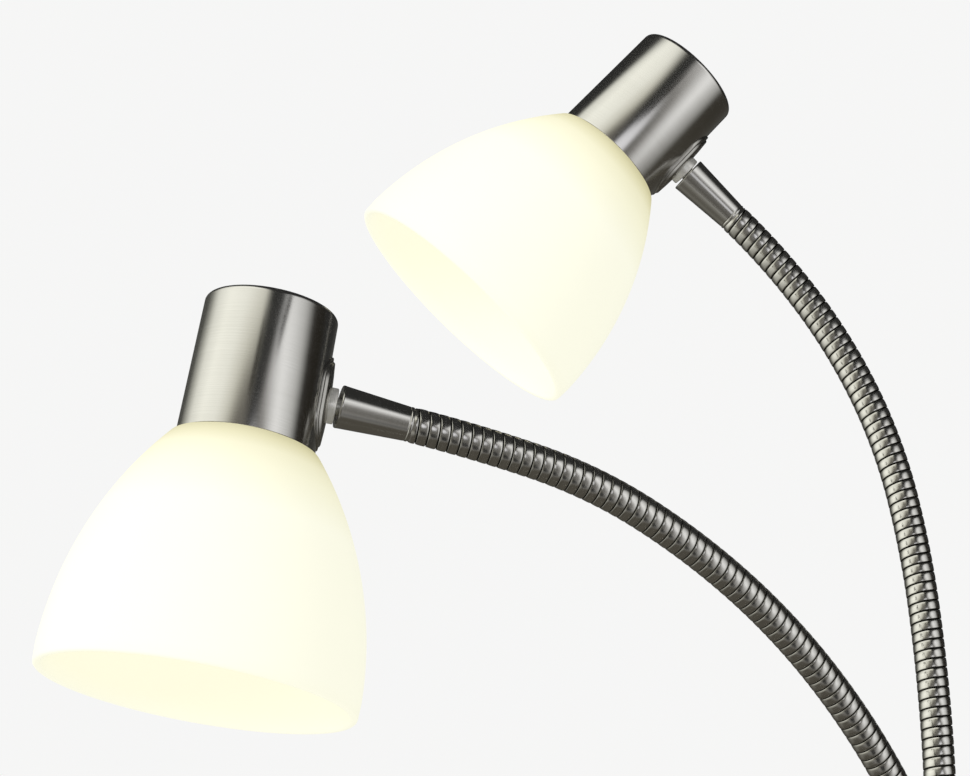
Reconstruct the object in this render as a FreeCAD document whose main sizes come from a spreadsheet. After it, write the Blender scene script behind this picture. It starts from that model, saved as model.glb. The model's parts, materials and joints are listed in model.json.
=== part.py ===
import FreeCAD, Part
import math
import os
import types

import Sketcher

# Torchiere floor lamp with two reading lights on goosenecks.
# Millimetres, +Z up, origin on the floor at the pole's axis. The goosenecks reach
# towards -X. Each head and sleeve is drawn in its own frame and then placed.

V = FreeCAD.Vector

# Driving dimensions, all in millimetres or degrees.
DIMENSIONS = {
    # base
    "base_radius": 140.0,
    "base_sheet": 1.5,
    "base_skirt_low": 2.0,
    "base_skirt_top": 17.0,
    "base_top": 30.0,
    "base_flat_radius": 22.0,
    "base_dome_curve": 620.0,
    "pad_radius": 128.0,
    "pad_height": 2.5,
    "weight_radius": 132.0,
    "weight_top": 15.0,
    "weight_boss_radius": 20.0,
    "nut_recess_radius": 14.0,
    "nut_radius": 11.0,
    "nut_low": 4.5,
    "nut_top": 10.0,
    "nipple_radius": 6.5,
    "nipple_bore": 4.5,
    "nipple_top": 62.0,
    "channel_width": 9.0,
    "collar_radius": 21.0,
    "collar_height": 12.0,
    "collar_step": 3.0,
    "collar_step_curve": 12.0,
    "collar_rim": 1.5,
    "inlet_height": 8.0,
    "inlet_bore_radius": 3.5,
    "grommet_radius": 4.6,
    "grommet_flange_radius": 5.6,
    "grommet_flange": 1.5,
    "grommet_inside": 4.0,
    # pole
    "pole_radius": 12.5,
    "pole_wall": 1.2,
    "pole_joint_low": 640.0,
    "pole_joint_high": 1300.0,
    "pole_top": 1690.0,
    "joiner_length": 80.0,
    "joiner_bore": 9.0,
    "fit_clearance": 0.05,
    # hub that carries the goosenecks
    "hub_low": 1216.0,
    "hub_high": 1250.0,
    "hub_radius": 25.0,
    "hub_reach": 30.0,
    "hub_wall": 2.5,
    "hub_roof": 4.0,
    "hub_edge": 3.0,
    "lid_thickness": 2.5,
    "knob_height": 1233.0,
    "knob_radius": 9.0,
    "knob_length": 10.5,
    "knob_bevel": 0.8,
    "knob_gap": 0.6,
    "knob_recess_radius": 7.6,
    "knob_recess_depth": 3.0,
    "knob_shaft_radius": 3.0,
    "knob_shaft_length": 10.0,
    "knob_spacing": 24.0,
    "pointer_width": 1.2,
    "pointer_depth": 0.7,
    "pointer_start": 1.5,
    "bush_radius": 5.0,
    "bush_length": 6.0,
    "bush_nut_radius": 7.0,
    "bush_nut_height": 2.0,
    "screw_radius": 1.5,
    "screw_head_radius": 3.0,
    "screw_head_height": 1.5,
    "screw_length": 10.0,
    "post_radius": 4.0,
    "wire_hole_radius": 3.0,
    # goosenecks
    "socket_radius": 8.2,
    "socket_taper": 3.0,
    "hose_groove_radius": 6.05,
    "hose_edge_radius": 6.6,
    "hose_crown_radius": 6.75,
    "hose_bore_radius": 2.3,
    "hose_end_gap": 0.95,
    "rib_pitch": 4.1,
    "rib_slope": 0.4,
    "link_ball_radius": 4.8,
    # sleeve and swivel neck
    "sleeve_length": 28.1,
    "sleeve_far_radius": 6.6,
    "sleeve_near_radius": 8.2,
    "sleeve_depth": 6.0,
    "sleeve_mouth_radius": 5.0,
    "sleeve_bore_radius": 3.0,
    "neck_ball_radius": 5.6,
    "neck_stem_radius": 3.2,
    "neck_collar_radius": 6.8,
    "neck_shank_radius": 4.0,
    "neck_bore_radius": 1.8,
    "neck_shank_start": 18.5,
    "neck_collar_start": 26.4,
    "neck_collar_end": 30.1,
    "neck_ball_centre": 37.0,
    # reading head
    "cup_top": 32.6,
    "cup_low": -21.4,
    "cup_top_radius": 25.3,
    "cup_low_radius": 25.9,
    "cup_wall": 1.0,
    "cup_edge": 2.0,
    "plate_length": 36.0,
    "plate_width": 24.0,
    "plate_back": 18.0,
    "plate_half_height": 19.0,
    "plate_high_radius": 26.6,
    "plate_low_radius": 26.9,
    "plate_curve": 173.0,
    "plate_nut_radius": 7.5,
    "plate_nut_low": 19.4,
    "holder_radius": 17.0,
    "holder_boss_radius": 9.0,
    "holder_shoulder": 24.0,
    "holder_seat": -15.0,
    "holder_skirt_radius": 13.9,
    "holder_low": -28.5,
    "holder_bore_radius": 8.5,
    "holder_bore_top": 16.0,
    "shade_thickness": 3.0,
    "shade_hole_radius": 14.2,
    "shade_flange_radius": 23.6,
    "shade_shoulder_radius": 27.6,
    "shade_shoulder": -22.2,
    "shade_widest": -108.6,
    "shade_low": -115.6,
    "shade_radius": 58.8,
    "shade_lip_radius": 58.5,
    "shade_curve": 143.0,
    "shade_inner_curve": 140.0,
    "shade_rim_gap": 0.3,
    "shade_inner_drop": 3.0,
    "shade_inner_flange": 19.9,
    "ring_outer_radius": 19.5,
    "ring_height": 5.0,
    "bulb_cap_radius": 6.9,
    "bulb_cap_top": -5.5,
    "bulb_cap_low": -30.5,
    "bulb_tip_radius": 2.5,
    "bulb_tip_height": 3.0,
    "bulb_neck_radius": 7.6,
    "bulb_radius": 20.0,
    "bulb_wall": 1.0,
    "bulb_centre": -57.5,
    # uplight
    "uplight_cup_low": 1668.0,
    "uplight_cup_high": 1722.0,
    "uplight_cup_radius": 30.0,
    "uplight_cup_wall": 1.2,
    "uplight_cup_bevel": 5.0,
    "uplight_holder_radius": 24.0,
    "uplight_skirt_radius": 19.8,
    "uplight_holder_high": 1744.0,
    "uplight_bore_radius": 14.6,
    "uplight_bore_low": 1708.0,
    "bowl_thickness": 4.0,
    "bowl_hole_radius": 20.1,
    "bowl_foot_radius": 31.5,
    "bowl_radius": 145.0,
    "bowl_high": 1814.0,
    "bowl_curve": 128.0,
    "bowl_inner_step": 2.0,
    "uplight_ring_radius": 28.0,
    "uplight_ring_height": 6.0,
    "uplight_cap_radius": 13.2,
    "uplight_cap_low": 1716.0,
    "uplight_cap_high": 1748.0,
    "uplight_tip_radius": 5.0,
    "uplight_tip_height": 4.0,
    "uplight_bulb_radius": 27.0,
    "uplight_bulb_centre": 1778.0,
}

HOSE_LENGTHS = 6
RIBS_PER_LENGTH = 12
HALF_CIRCLE_TOLERANCE = 1e-6
CENTRE = 3
OVERCUT = 1.0
HALF_SPACE = 200.0

# Each reading arm: where its socket's mouth is, the gooseneck's lean from vertical and
# compass direction at each hinge and at its end, and how its head is turned.
ARMS = {
    "left": {
        "mouth": V(-37.3, -18.0, 1266.3),
        "leans": [24.4, 34.5, 43.1, 51.9, 59.9, 72.4, 76.3],
        "headings": [209.9, 208.0, 207.0, 204.6, 201.5, 196.3, 190.9],
        "neck_heading": 186.3,
        "neck_rise": 11.1,
        "head_roll": 14.7,
    },
    "right": {
        "mouth": V(-26.5, 12.0, 1271.7),
        "leans": [10.1, 12.6, 14.8, 18.0, 26.5, 36.2, 46.2],
        "headings": [82.3, 97.1, 108.5, 127.8, 151.2, 167.8, 181.4],
        "neck_heading": 188.5,
        "neck_rise": 44.4,
        "head_roll": 2.4,
    },
}


class Size:
    """A length with the expression that gives it from the spreadsheet."""

    def __init__(self, value, text):
        self.value = value
        self.text = text

    def __add__(self, other):
        other = as_size(other)
        return Size(self.value + other.value, f"({self.text} + {other.text})")

    def __sub__(self, other):
        other = as_size(other)
        return Size(self.value - other.value, f"({self.text} - {other.text})")

    def __rsub__(self, other):
        return as_size(other) - self

    def __mul__(self, factor):
        return Size(self.value * factor, f"({self.text} * {factor})")

    def __neg__(self):
        return self * -1


def as_size(number):
    if isinstance(number, Size):
        return number
    return Size(float(number), f"({float(number)})")


doc = FreeCAD.newDocument("floor_lamp")
sheet = doc.addObject("Spreadsheet::Sheet", "Sizes")
for row, (alias, number) in enumerate(DIMENSIONS.items(), start=1):
    sheet.set(f"A{row}", alias)
    sheet.set(f"B{row}", str(number))
    sheet.setAlias(f"B{row}", alias)
doc.recompute()

S = types.SimpleNamespace(**{a: Size(n, f"Sizes.{a}") for a, n in DIMENSIONS.items()})
mm = types.SimpleNamespace(**DIMENSIONS)

parts = []


def finish_part(item, name, placement=None):
    """Give a sub-part its name and place, and list it for writing."""
    item.Label = name
    if placement is not None:
        item.Placement = placement
    parts.append((name, item))
    return item


def arc_middle(start, end, radius):
    """Middle of an arc. A positive radius puts its centre left of the travel."""
    chord = end - start
    half = chord.Length / 2
    left = V(-chord.y, chord.x, 0) / chord.Length
    side = 1 if radius > 0 else -1
    drop = math.sqrt(radius * radius - half * half)
    centre = start + chord / 2 + left * (side * drop)
    return centre - left * (side * abs(radius))


def place_point(sketch, edge, point, kind, length):
    """Hold a point of an edge at a distance from the sketch's origin."""
    axis = -2 if kind == "DistanceX" else -1
    if length.value == 0:
        sketch.addConstraint(Sketcher.Constraint("PointOnObject", edge, point, axis))
        return
    at = sketch.addConstraint(Sketcher.Constraint(kind, -1, 1, edge, point, length.value))
    sketch.setExpression(f"Constraints[{at}]", length.text)


def draw_outline(body, plane_role, outline, name):
    """Closed sketch on one of the body's own planes.

    Each corner is (x, y), or (x, y, radius) where an arc leads to the next corner.
    """
    plane = next(f for f in body.Origin.OriginFeatures if f.Role == plane_role)
    sketch = body.newObject("Sketcher::SketchObject", name)
    sketch.AttachmentSupport = (plane, [""])
    sketch.MapMode = "FlatFace"
    corners = [(as_size(c[0]), as_size(c[1])) for c in outline]
    points = [V(x.value, y.value, 0) for x, y in corners]
    ends = []
    for i, corner in enumerate(outline):
        start = points[i]
        end = points[(i + 1) % len(points)]
        if len(corner) == 3:
            radius = as_size(corner[2])
            middle = arc_middle(start, end, radius.value)
            edge = sketch.addGeometry(Part.Arc(start, middle, end), False)
            swapped = (sketch.getPoint(edge, 1) - start).Length > (sketch.getPoint(edge, 1) - end).Length
            ends.append((edge, 2, 1) if swapped else (edge, 1, 2))
        else:
            edge = sketch.addGeometry(Part.LineSegment(start, end), False)
            ends.append((edge, 1, 2))
    for i, (edge, first, last) in enumerate(ends):
        after, after_first, _ = ends[(i + 1) % len(ends)]
        sketch.addConstraint(Sketcher.Constraint("Coincident", edge, last, after, after_first))
    for i, (edge, first, last) in enumerate(ends):
        place_point(sketch, edge, first, "DistanceX", corners[i][0])
        place_point(sketch, edge, first, "DistanceY", corners[i][1])
        if len(outline[i]) == 3:
            chord = points[(i + 1) % len(points)] - points[i]
            radius = as_size(outline[i][2])
            radius = radius if radius.value > 0 else -radius
            if abs(chord.Length - 2 * radius.value) > HALF_CIRCLE_TOLERANCE:
                at = sketch.addConstraint(Sketcher.Constraint("Radius", edge, radius.value))
                sketch.setExpression(f"Constraints[{at}]", radius.text)
            elif abs(chord.x) < abs(chord.y):
                place_point(sketch, edge, CENTRE, "DistanceX", corners[i][0])
            else:
                place_point(sketch, edge, CENTRE, "DistanceY", corners[i][1])
    return sketch


def turned(name, outline):
    """Body turned about its own Z axis from an outline of (radius, height)."""
    body = doc.addObject("PartDesign::Body", name)
    sketch = draw_outline(body, "XZ_Plane", outline, name + "_outline")
    turn = body.newObject("PartDesign::Revolution", name + "_turn")
    turn.Profile = sketch
    turn.ReferenceAxis = (sketch, ["V_Axis"])
    turn.Angle = 360
    return body


def padded(name, plane_role, outline, low, high):
    """Body pushed out from an outline between two heights above its plane."""
    body = doc.addObject("PartDesign::Body", name)
    sketch = draw_outline(body, plane_role, outline, name + "_outline")
    sketch.setExpression("AttachmentOffset.Base.z", as_size(low).text)
    pad = body.newObject("PartDesign::Pad", name + "_pad")
    pad.Profile = sketch
    pad.setExpression("Length", (as_size(high) - low).text)
    return body


def slot_outline(reach, radius):
    """Slot about the origin whose far half circle is at -X by the reach."""
    return [(0, -radius, radius), (0, radius), (-reach, radius, radius), (-reach, -radius)]


def rod(name, radius, low, high, axis=V(0, 0, 1), at=V(0, 0, 0)):
    """Cylinder along an axis, from low to high along it."""
    item = doc.addObject("Part::Cylinder", name)
    item.setExpression("Radius", as_size(radius).text)
    item.setExpression("Height", (as_size(high) - low).text)
    turn = FreeCAD.Rotation(V(0, 0, 1), axis)
    item.Placement = FreeCAD.Placement(at + axis * as_size(low).value, turn)
    return item


def cut(name, base, tools):
    """Base with each tool taken away."""
    for number, tool in enumerate(tools):
        item = doc.addObject("Part::Cut", f"{name}_cut_{number}")
        item.Base = base
        item.Tool = tool
        base = item
    return base


def group(name, items):
    """Several separate solids, or several touching ones, as one object."""
    item = doc.addObject("Part::MultiFuse", name + "_group")
    item.Shapes = items
    return item


def ring_outline(inner, outer, low, high):
    return [(inner, low), (outer, low), (outer, high), (inner, high)]


# Base: a felt pad, a cast weight, and a domed cover with the cord's inlet at the back.

def make_base():
    finish_part(rod("pad", S.pad_radius, 0, S.pad_height), "base_pad")

    weight = turned("weight", [
        (S.nipple_radius + S.fit_clearance, S.nut_top),
        (S.nut_recess_radius, S.nut_top),
        (S.nut_recess_radius, S.pad_height),
        (S.weight_radius, S.pad_height),
        (S.weight_radius, S.weight_top),
        (S.weight_boss_radius, S.weight_top),
        (S.weight_boss_radius, S.base_top - S.base_sheet),
        (S.nipple_radius + S.fit_clearance, S.base_top - S.base_sheet),
    ])
    channel = doc.addObject("Part::Box", "cord_channel")
    channel.setExpression("Length", S.channel_width.text)
    channel.setExpression("Width", S.weight_radius.text)
    channel.setExpression("Height", S.channel_width.text)
    channel.Placement.Base = V(-mm.channel_width / 2, mm.nut_radius, mm.pad_height - OVERCUT)
    finish_part(cut("weight", weight, [channel]), "base_weight")

    inner = S.base_radius - S.base_sheet
    cover = turned("cover", [
        (inner, S.base_skirt_low),
        (S.base_radius, S.base_skirt_low),
        (S.base_radius, S.base_skirt_top, S.base_dome_curve),
        (S.base_flat_radius, S.base_top),
        (S.nipple_radius + S.fit_clearance, S.base_top),
        (S.nipple_radius + S.fit_clearance, S.base_top - S.base_sheet),
        (S.base_flat_radius, S.base_top - S.base_sheet, -S.base_dome_curve),
        (inner, S.base_skirt_top - S.base_sheet),
    ])
    back = V(0, 1, 0)
    inlet = V(0, 0, mm.inlet_height)
    inlet_hole = rod("inlet_hole", S.grommet_radius + S.fit_clearance,
                     inner - S.grommet_inside, S.base_radius + OVERCUT, back, inlet)
    finish_part(cut("cover", cover, [inlet_hole]), "base_cover")

    grommet_end = S.base_radius + S.grommet_flange
    grommet = turned("grommet", [
        (S.inlet_bore_radius, inner - S.grommet_inside),
        (S.grommet_radius, inner - S.grommet_inside),
        (S.grommet_radius, S.base_radius),
        (S.grommet_flange_radius, S.base_radius),
        (S.grommet_flange_radius, grommet_end),
        (S.inlet_bore_radius, grommet_end),
    ])
    turn = FreeCAD.Rotation(V(0, 0, 1), back)
    finish_part(grommet, "cord_grommet", FreeCAD.Placement(inlet, turn))

    nipple = turned("nipple", ring_outline(S.nipple_bore, S.nipple_radius, S.nut_low, S.nipple_top))
    finish_part(nipple, "base_nipple")
    nut = turned("nut", ring_outline(S.nipple_radius + S.fit_clearance, S.nut_radius, S.nut_low, S.nut_top))
    finish_part(nut, "base_locknut")


# Pole: three lengths of tube on inner joiners, with a collar at the foot.

def make_pole():
    bore = S.pole_radius - S.pole_wall
    plug = bore - S.fit_clearance
    lengths = (
        ("pole_lower", S.base_top, S.pole_joint_low),
        ("pole_middle", S.pole_joint_low, S.pole_joint_high),
        ("pole_upper", S.pole_joint_high, S.pole_top),
    )
    for name, low, high in lengths:
        finish_part(turned(name, ring_outline(bore, S.pole_radius, low, high)), name)
    for name, middle in (("pole_joiner_lower", S.pole_joint_low), ("pole_joiner_upper", S.pole_joint_high)):
        half = S.joiner_length * 0.5
        joiner = turned(name, ring_outline(S.joiner_bore, plug, middle - half, middle + half))
        finish_part(joiner, name)
    bush = ring_outline(S.nipple_radius + S.fit_clearance, plug, S.base_top, S.nipple_top)
    finish_part(turned("foot_bush", bush), "pole_foot_bush")
    collar = turned("collar", [
        (S.pole_radius + S.fit_clearance, S.base_top),
        (S.collar_radius, S.base_top),
        (S.collar_radius, S.base_top + S.collar_step, S.collar_step_curve),
        (S.pole_radius + S.collar_rim, S.base_top + S.collar_height),
        (S.pole_radius + S.fit_clearance, S.base_top + S.collar_height),
    ])
    finish_part(collar, "pole_collar")


# Hub: a slot-shaped housing round the pole, with a lid below and two knobs in front.

def knob_places():
    first = -mm.hub_reach / 2 + mm.knob_spacing / 2
    return {"uplight": first, "reading": first - mm.knob_spacing}


def screw_places():
    across = mm.hub_radius - mm.hub_wall / 2 - mm.post_radius
    return [V(-mm.hub_reach / 2, across, 0), V(-mm.hub_reach / 2, -across, 0)]


def make_hub_body():
    """Housing with a round upper edge, two screw posts, and holes for all that enters."""
    block = padded("hub", "XY_Plane", slot_outline(S.hub_reach, S.hub_radius), S.hub_low, S.hub_high)
    doc.recompute()
    pad = block.Tip
    rim = [f"Edge{i}" for i, edge in enumerate(pad.Shape.Edges, start=1)
           if abs(edge.CenterOfMass.z - mm.hub_high) < HALF_CIRCLE_TOLERANCE]
    edge = block.newObject("PartDesign::Fillet", "hub_edge_round")
    edge.Base = (pad, rim)
    edge.setExpression("Radius", S.hub_edge.text)
    block.Tip = edge
    ceiling = S.hub_high - S.hub_roof
    inside = padded("hub_inside", "XY_Plane", slot_outline(S.hub_reach, S.hub_radius - S.hub_wall),
                    S.hub_low - OVERCUT, ceiling)
    housing = [cut("hub_shell", block, [inside])]
    holes = [rod("hub_pole_hole", S.pole_radius + S.fit_clearance, S.hub_low, S.hub_high + OVERCUT)]
    for number, at in enumerate(screw_places()):
        housing.append(rod(f"hub_post_{number}", S.post_radius, S.hub_low, ceiling, at=at))
        holes.append(rod(f"hub_screw_hole_{number}", S.screw_radius + S.fit_clearance,
                         S.hub_low - OVERCUT, S.hub_low + S.screw_length, at=at))
    for name, x in knob_places().items():
        holes.append(rod(name + "_hole", S.bush_radius + S.fit_clearance, S.hub_radius - S.post_radius,
                         S.hub_radius + OVERCUT, V(0, -1, 0), V(x, 0, mm.knob_height)))
    for side in ARMS:
        foot = socket_foot(side)
        holes.append(rod(side + "_wire_hole", S.wire_hole_radius, ceiling - OVERCUT, S.hub_high + OVERCUT,
                         at=V(foot.x, foot.y, 0)))
    finish_part(cut("hub", group("hub_housing", housing), holes), "hub_body")


def make_hub_lid():
    low = S.hub_low - S.lid_thickness
    lid = padded("lid", "XY_Plane", slot_outline(S.hub_reach, S.hub_radius), low, S.hub_low)
    holes = [rod("lid_pole_hole", S.pole_radius + S.fit_clearance, low - OVERCUT, S.hub_low + OVERCUT)]
    screws = []
    for number, at in enumerate(screw_places()):
        holes.append(rod(f"lid_screw_hole_{number}", S.screw_radius + S.fit_clearance,
                         low - OVERCUT, S.hub_low + OVERCUT, at=at))
        screws.append(rod(f"screw_{number}", S.screw_radius, low, low + S.screw_length, at=at))
        screws.append(rod(f"screw_head_{number}", S.screw_head_radius,
                          low - S.screw_head_height, low, at=at))
    finish_part(cut("lid", lid, holes), "hub_lid")
    finish_part(group("screws", screws), "hub_screws")


def make_knobs():
    """Two knobs, each with a pointer groove, on shafts through threaded bushes."""
    wall = S.hub_radius
    end = wall + S.knob_length
    recess = wall + S.knob_gap + S.knob_recess_depth
    shaft_hole = S.knob_shaft_radius + S.fit_clearance
    bushes = []
    for name, x in knob_places().items():
        place = FreeCAD.Placement(V(x, 0, mm.knob_height), FreeCAD.Rotation(V(0, 0, 1), V(0, -1, 0)))
        knob = turned(name + "_knob_body", [
            (0, wall - S.knob_shaft_length),
            (S.knob_shaft_radius, wall - S.knob_shaft_length),
            (S.knob_shaft_radius, recess),
            (S.knob_recess_radius, recess),
            (S.knob_recess_radius, wall + S.knob_gap),
            (S.knob_radius, wall + S.knob_gap),
            (S.knob_radius - S.knob_bevel, end - S.knob_bevel),
            (S.knob_radius - S.knob_bevel * 2, end),
            (0, end),
        ])
        pointer = doc.addObject("Part::Box", name + "_pointer")
        pointer.setExpression("Length", S.pointer_width.text)
        pointer.setExpression("Width", S.knob_radius.text)
        pointer.setExpression("Height", (S.pointer_depth + OVERCUT).text)
        pointer.Placement.Base = V(-mm.pointer_width / 2, mm.pointer_start, end.value - mm.pointer_depth)
        finish_part(cut(name + "_knob", knob, [pointer]), name + "_knob", place)
        bush = turned(name + "_bush", [
            (shaft_hole, wall - S.bush_length),
            (S.bush_radius, wall - S.bush_length),
            (S.bush_radius, wall),
            (S.bush_nut_radius, wall),
            (S.bush_nut_radius, wall + S.bush_nut_height),
            (shaft_hole, wall + S.bush_nut_height),
        ])
        bush.Placement = place
        bushes.append(bush)
    finish_part(group("bushes", bushes), "knob_bushes")


# Goosenecks: a chain of ribbed lengths, each hinged on the ball of the one before.

def hose_direction(side, hinge):
    """Unit vector along a gooseneck at one of its hinges, or at its far end."""
    lean = math.radians(ARMS[side]["leans"][hinge])
    heading = math.radians(ARMS[side]["headings"][hinge])
    flat = math.sin(lean)
    return V(flat * math.cos(heading), flat * math.sin(heading), math.cos(lean))


def hose_frame(start, first, last, length, along):
    """Place and direction at a distance along an arc, and straight on past its ends.

    The arc leaves its start along the unit vector first and arrives along last.
    """
    inside = min(max(along, 0.0), length)
    bend = first.getAngle(last)
    turn = bend * inside / length
    aside = last - first * first.dot(last)
    aside.normalize()
    radius = length / bend
    tangent = first * math.cos(turn) + aside * math.sin(turn)
    place = start + (first * math.sin(turn) + aside * (1 - math.cos(turn))) * radius
    return place + tangent * (along - inside), tangent


def round_loft(normal, stations):
    """Ruled loft through circles, each with its X axis square to the arc's plane."""
    wires = []
    for (place, tangent), radius in stations:
        circle = Part.Wire([Part.Circle(V(0, 0, 0), V(0, 0, 1), radius).toShape()])
        turn = FreeCAD.Rotation(normal, tangent.cross(normal), tangent, "ZXY")
        circle.Placement = FreeCAD.Placement(place, turn)
        wires.append(circle)
    return Part.makeLoft(wires, True, True)


def socket_foot(side):
    """Where the socket's axis meets the hub's roof."""
    mouth = ARMS[side]["mouth"]
    axis = hose_direction(side, 0)
    return mouth - axis * ((mouth.z - mm.hub_high) / axis.z)


def make_socket(side):
    """Short tube cut to sit on the hub's roof, with the first hinge ball at its mouth."""
    axis = hose_direction(side, 0)
    mouth = ARMS[side]["mouth"]
    low = (mouth - socket_foot(side)).Length + 2 * mm.socket_radius
    end = -S.hose_end_gap
    tube = turned(side + "_socket", [
        (S.hose_bore_radius, -low),
        (S.socket_radius, -low),
        (S.socket_radius, end - S.socket_taper),
        (S.hose_groove_radius, end),
        (S.hose_bore_radius, end),
    ])
    tube.Placement = FreeCAD.Placement(mouth, FreeCAD.Rotation(V(0, 0, 1), axis))
    ball = doc.addObject("Part::Sphere", side + "_socket_ball")
    ball.setExpression("Radius", S.link_ball_radius.text)
    ball.Placement.Base = mouth
    wire_bore = rod(side + "_socket_bore", S.hose_bore_radius, -low - OVERCUT,
                    S.link_ball_radius + OVERCUT, axis, mouth)
    below = doc.addObject("Part::Box", side + "_socket_below")
    below.Length = HALF_SPACE
    below.Width = HALF_SPACE
    below.Height = HALF_SPACE
    below.Placement.Base = V(mouth.x - HALF_SPACE / 2, mouth.y - HALF_SPACE / 2, mm.hub_high - HALF_SPACE)
    whole = group(side + "_socket_whole", [tube, ball])
    finish_part(cut(side + "_socket", whole, [wire_bore, below]), "arm_socket_" + side)


def rib_stations(span, stop):
    """Ribs as circles along one length of hose: four to a rib, and one at the end."""
    stations = []
    for rib in range(RIBS_PER_LENGTH):
        low = max(rib * mm.rib_pitch, mm.hose_end_gap)
        high = min((rib + 1) * mm.rib_pitch, stop)
        middle = (rib + 0.5) * mm.rib_pitch
        stations.append((hose_frame(*span, low), mm.hose_groove_radius))
        stations.append((hose_frame(*span, low + mm.rib_slope), mm.hose_edge_radius))
        stations.append((hose_frame(*span, middle), mm.hose_crown_radius))
        stations.append((hose_frame(*span, high - mm.rib_slope), mm.hose_edge_radius))
    stations.append((hose_frame(*span, stop), mm.hose_groove_radius))
    return stations


def make_hose(side):
    """Ribbed lengths of one gooseneck. Returns the far end's place."""
    length = RIBS_PER_LENGTH * mm.rib_pitch
    start = ARMS[side]["mouth"]
    for number in range(HOSE_LENGTHS):
        is_last = number == HOSE_LENGTHS - 1
        first = hose_direction(side, number)
        last = hose_direction(side, number + 1)
        normal = first.cross(last).normalize()
        span = (start, first, last, length)
        stop = length if is_last else length - mm.hose_end_gap
        shape = round_loft(normal, rib_stations(span, stop))
        end, _ = hose_frame(*span, length)
        if not is_last:
            shape = shape.fuse(Part.makeSphere(mm.link_ball_radius, end))
        steps = [step * mm.rib_pitch for step in range(RIBS_PER_LENGTH + 1)]
        steps = [-OVERCUT] + steps + [length + mm.link_ball_radius + OVERCUT]
        bore = round_loft(normal, [(hose_frame(*span, step), mm.hose_bore_radius) for step in steps])
        cavity = Part.makeSphere(mm.link_ball_radius + mm.fit_clearance, start)
        piece = doc.addObject("Part::Feature", f"hose_{side}_{number + 1}")
        piece.Shape = shape.cut(cavity).cut(bore)
        finish_part(piece, f"gooseneck_{side}_{number + 1}")
        start = end
    return start


# Reading head: everything from the sleeve's far face to the shade's lip.

def neck_vector(side):
    """Direction from the sleeve's ball towards the cup."""
    heading = math.radians(ARMS[side]["neck_heading"])
    rise = math.radians(ARMS[side]["neck_rise"])
    flat = math.cos(rise)
    return V(flat * math.cos(heading), flat * math.sin(heading), math.sin(rise))


def opening_vector(side):
    """Direction in which the shade opens, square to the neck."""
    neck = neck_vector(side)
    down = neck * neck.z - V(0, 0, 1)
    down.normalize()
    across = neck.cross(down)
    roll = math.radians(ARMS[side]["head_roll"])
    return down * math.cos(roll) + across * math.sin(roll)


def make_sleeve(side, hose_end):
    """Tapered sleeve at the gooseneck's end. Returns the centre of its ball seat."""
    axis = hose_direction(side, HOSE_LENGTHS)
    centre = hose_end + axis * (mm.sleeve_length - mm.sleeve_depth)
    seat = S.neck_ball_radius + S.fit_clearance
    reach = math.sqrt(seat.value ** 2 - mm.sleeve_mouth_radius ** 2)
    drop = math.sqrt(seat.value ** 2 - mm.sleeve_bore_radius ** 2)
    far = S.sleeve_depth - S.sleeve_length
    sleeve = turned(side + "_sleeve", [
        (S.sleeve_bore_radius, far),
        (S.sleeve_far_radius, far),
        (S.sleeve_near_radius, S.sleeve_depth),
        (S.sleeve_mouth_radius, S.sleeve_depth),
        (S.sleeve_mouth_radius, reach, -seat),
        (S.sleeve_bore_radius, -drop),
    ])
    place = FreeCAD.Placement(centre, FreeCAD.Rotation(V(0, 0, 1), axis))
    finish_part(sleeve, "sleeve_" + side, place)
    return centre


def head_placement(side, ball_centre):
    """Frame on the cup's axis at the neck: +X to the sleeve, -Z to the opening."""
    neck = neck_vector(side)
    up = opening_vector(side) * -1
    back = neck * -1
    turn = FreeCAD.Rotation(back, up.cross(back), up, "ZXY")
    return FreeCAD.Placement(ball_centre + neck * mm.neck_ball_centre, turn)


def cup_cone(name, inset):
    """Cone of the cup's outer or inner wall, used to shape what lies against it."""
    cone = doc.addObject("Part::Cone", name)
    cone.setExpression("Radius1", (S.cup_low_radius - inset).text)
    cone.setExpression("Radius2", (S.cup_top_radius - inset).text)
    cone.setExpression("Height", (S.cup_top - S.cup_edge - S.cup_low).text)
    cone.Placement.Base = V(0, 0, mm.cup_low)
    return cone


def plate_barrel(name):
    """Round body whose bulging side is the outer face of the saddle plate."""
    half = S.plate_half_height
    return turned(name, [
        (0, -half),
        (S.plate_low_radius, -half, S.plate_curve),
        (S.plate_high_radius, half),
        (0, half),
    ])


def shank_hole(name):
    return rod(name, S.neck_shank_radius + S.fit_clearance, S.plate_back - OVERCUT,
               S.neck_collar_end, V(1, 0, 0))


def make_neck(side, place):
    """Swivel neck: a shank through plate and cup, a collar on the plate, and a ball."""
    out = V(1, 0, 0)
    ball = S.neck_ball_radius
    stem_drop = math.sqrt(ball.value ** 2 - mm.neck_stem_radius ** 2)
    bore_rise = math.sqrt(ball.value ** 2 - mm.neck_bore_radius ** 2)
    stem = turned(side + "_neck_stem", [
        (S.neck_bore_radius, S.neck_shank_start),
        (S.neck_shank_radius, S.neck_shank_start),
        (S.neck_shank_radius, S.neck_collar_end),
        (S.neck_stem_radius, S.neck_collar_end),
        (S.neck_stem_radius, S.neck_ball_centre - stem_drop, ball),
        (S.neck_bore_radius, S.neck_ball_centre + bore_rise),
    ])
    stem.Placement = FreeCAD.Placement(V(0, 0, 0), FreeCAD.Rotation(V(0, 0, 1), out))
    ring = rod(side + "_neck_ring", S.neck_collar_radius, S.neck_collar_start, S.neck_collar_end, out)
    ring_hole = rod(side + "_neck_ring_hole", S.neck_shank_radius, S.plate_back,
                    S.neck_collar_end + OVERCUT, out)
    collar = cut(side + "_neck_collar", ring, [plate_barrel(side + "_neck_seat"), ring_hole])
    finish_part(group(side + "_neck", [stem, collar]), "swivel_neck_" + side, place)


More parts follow.
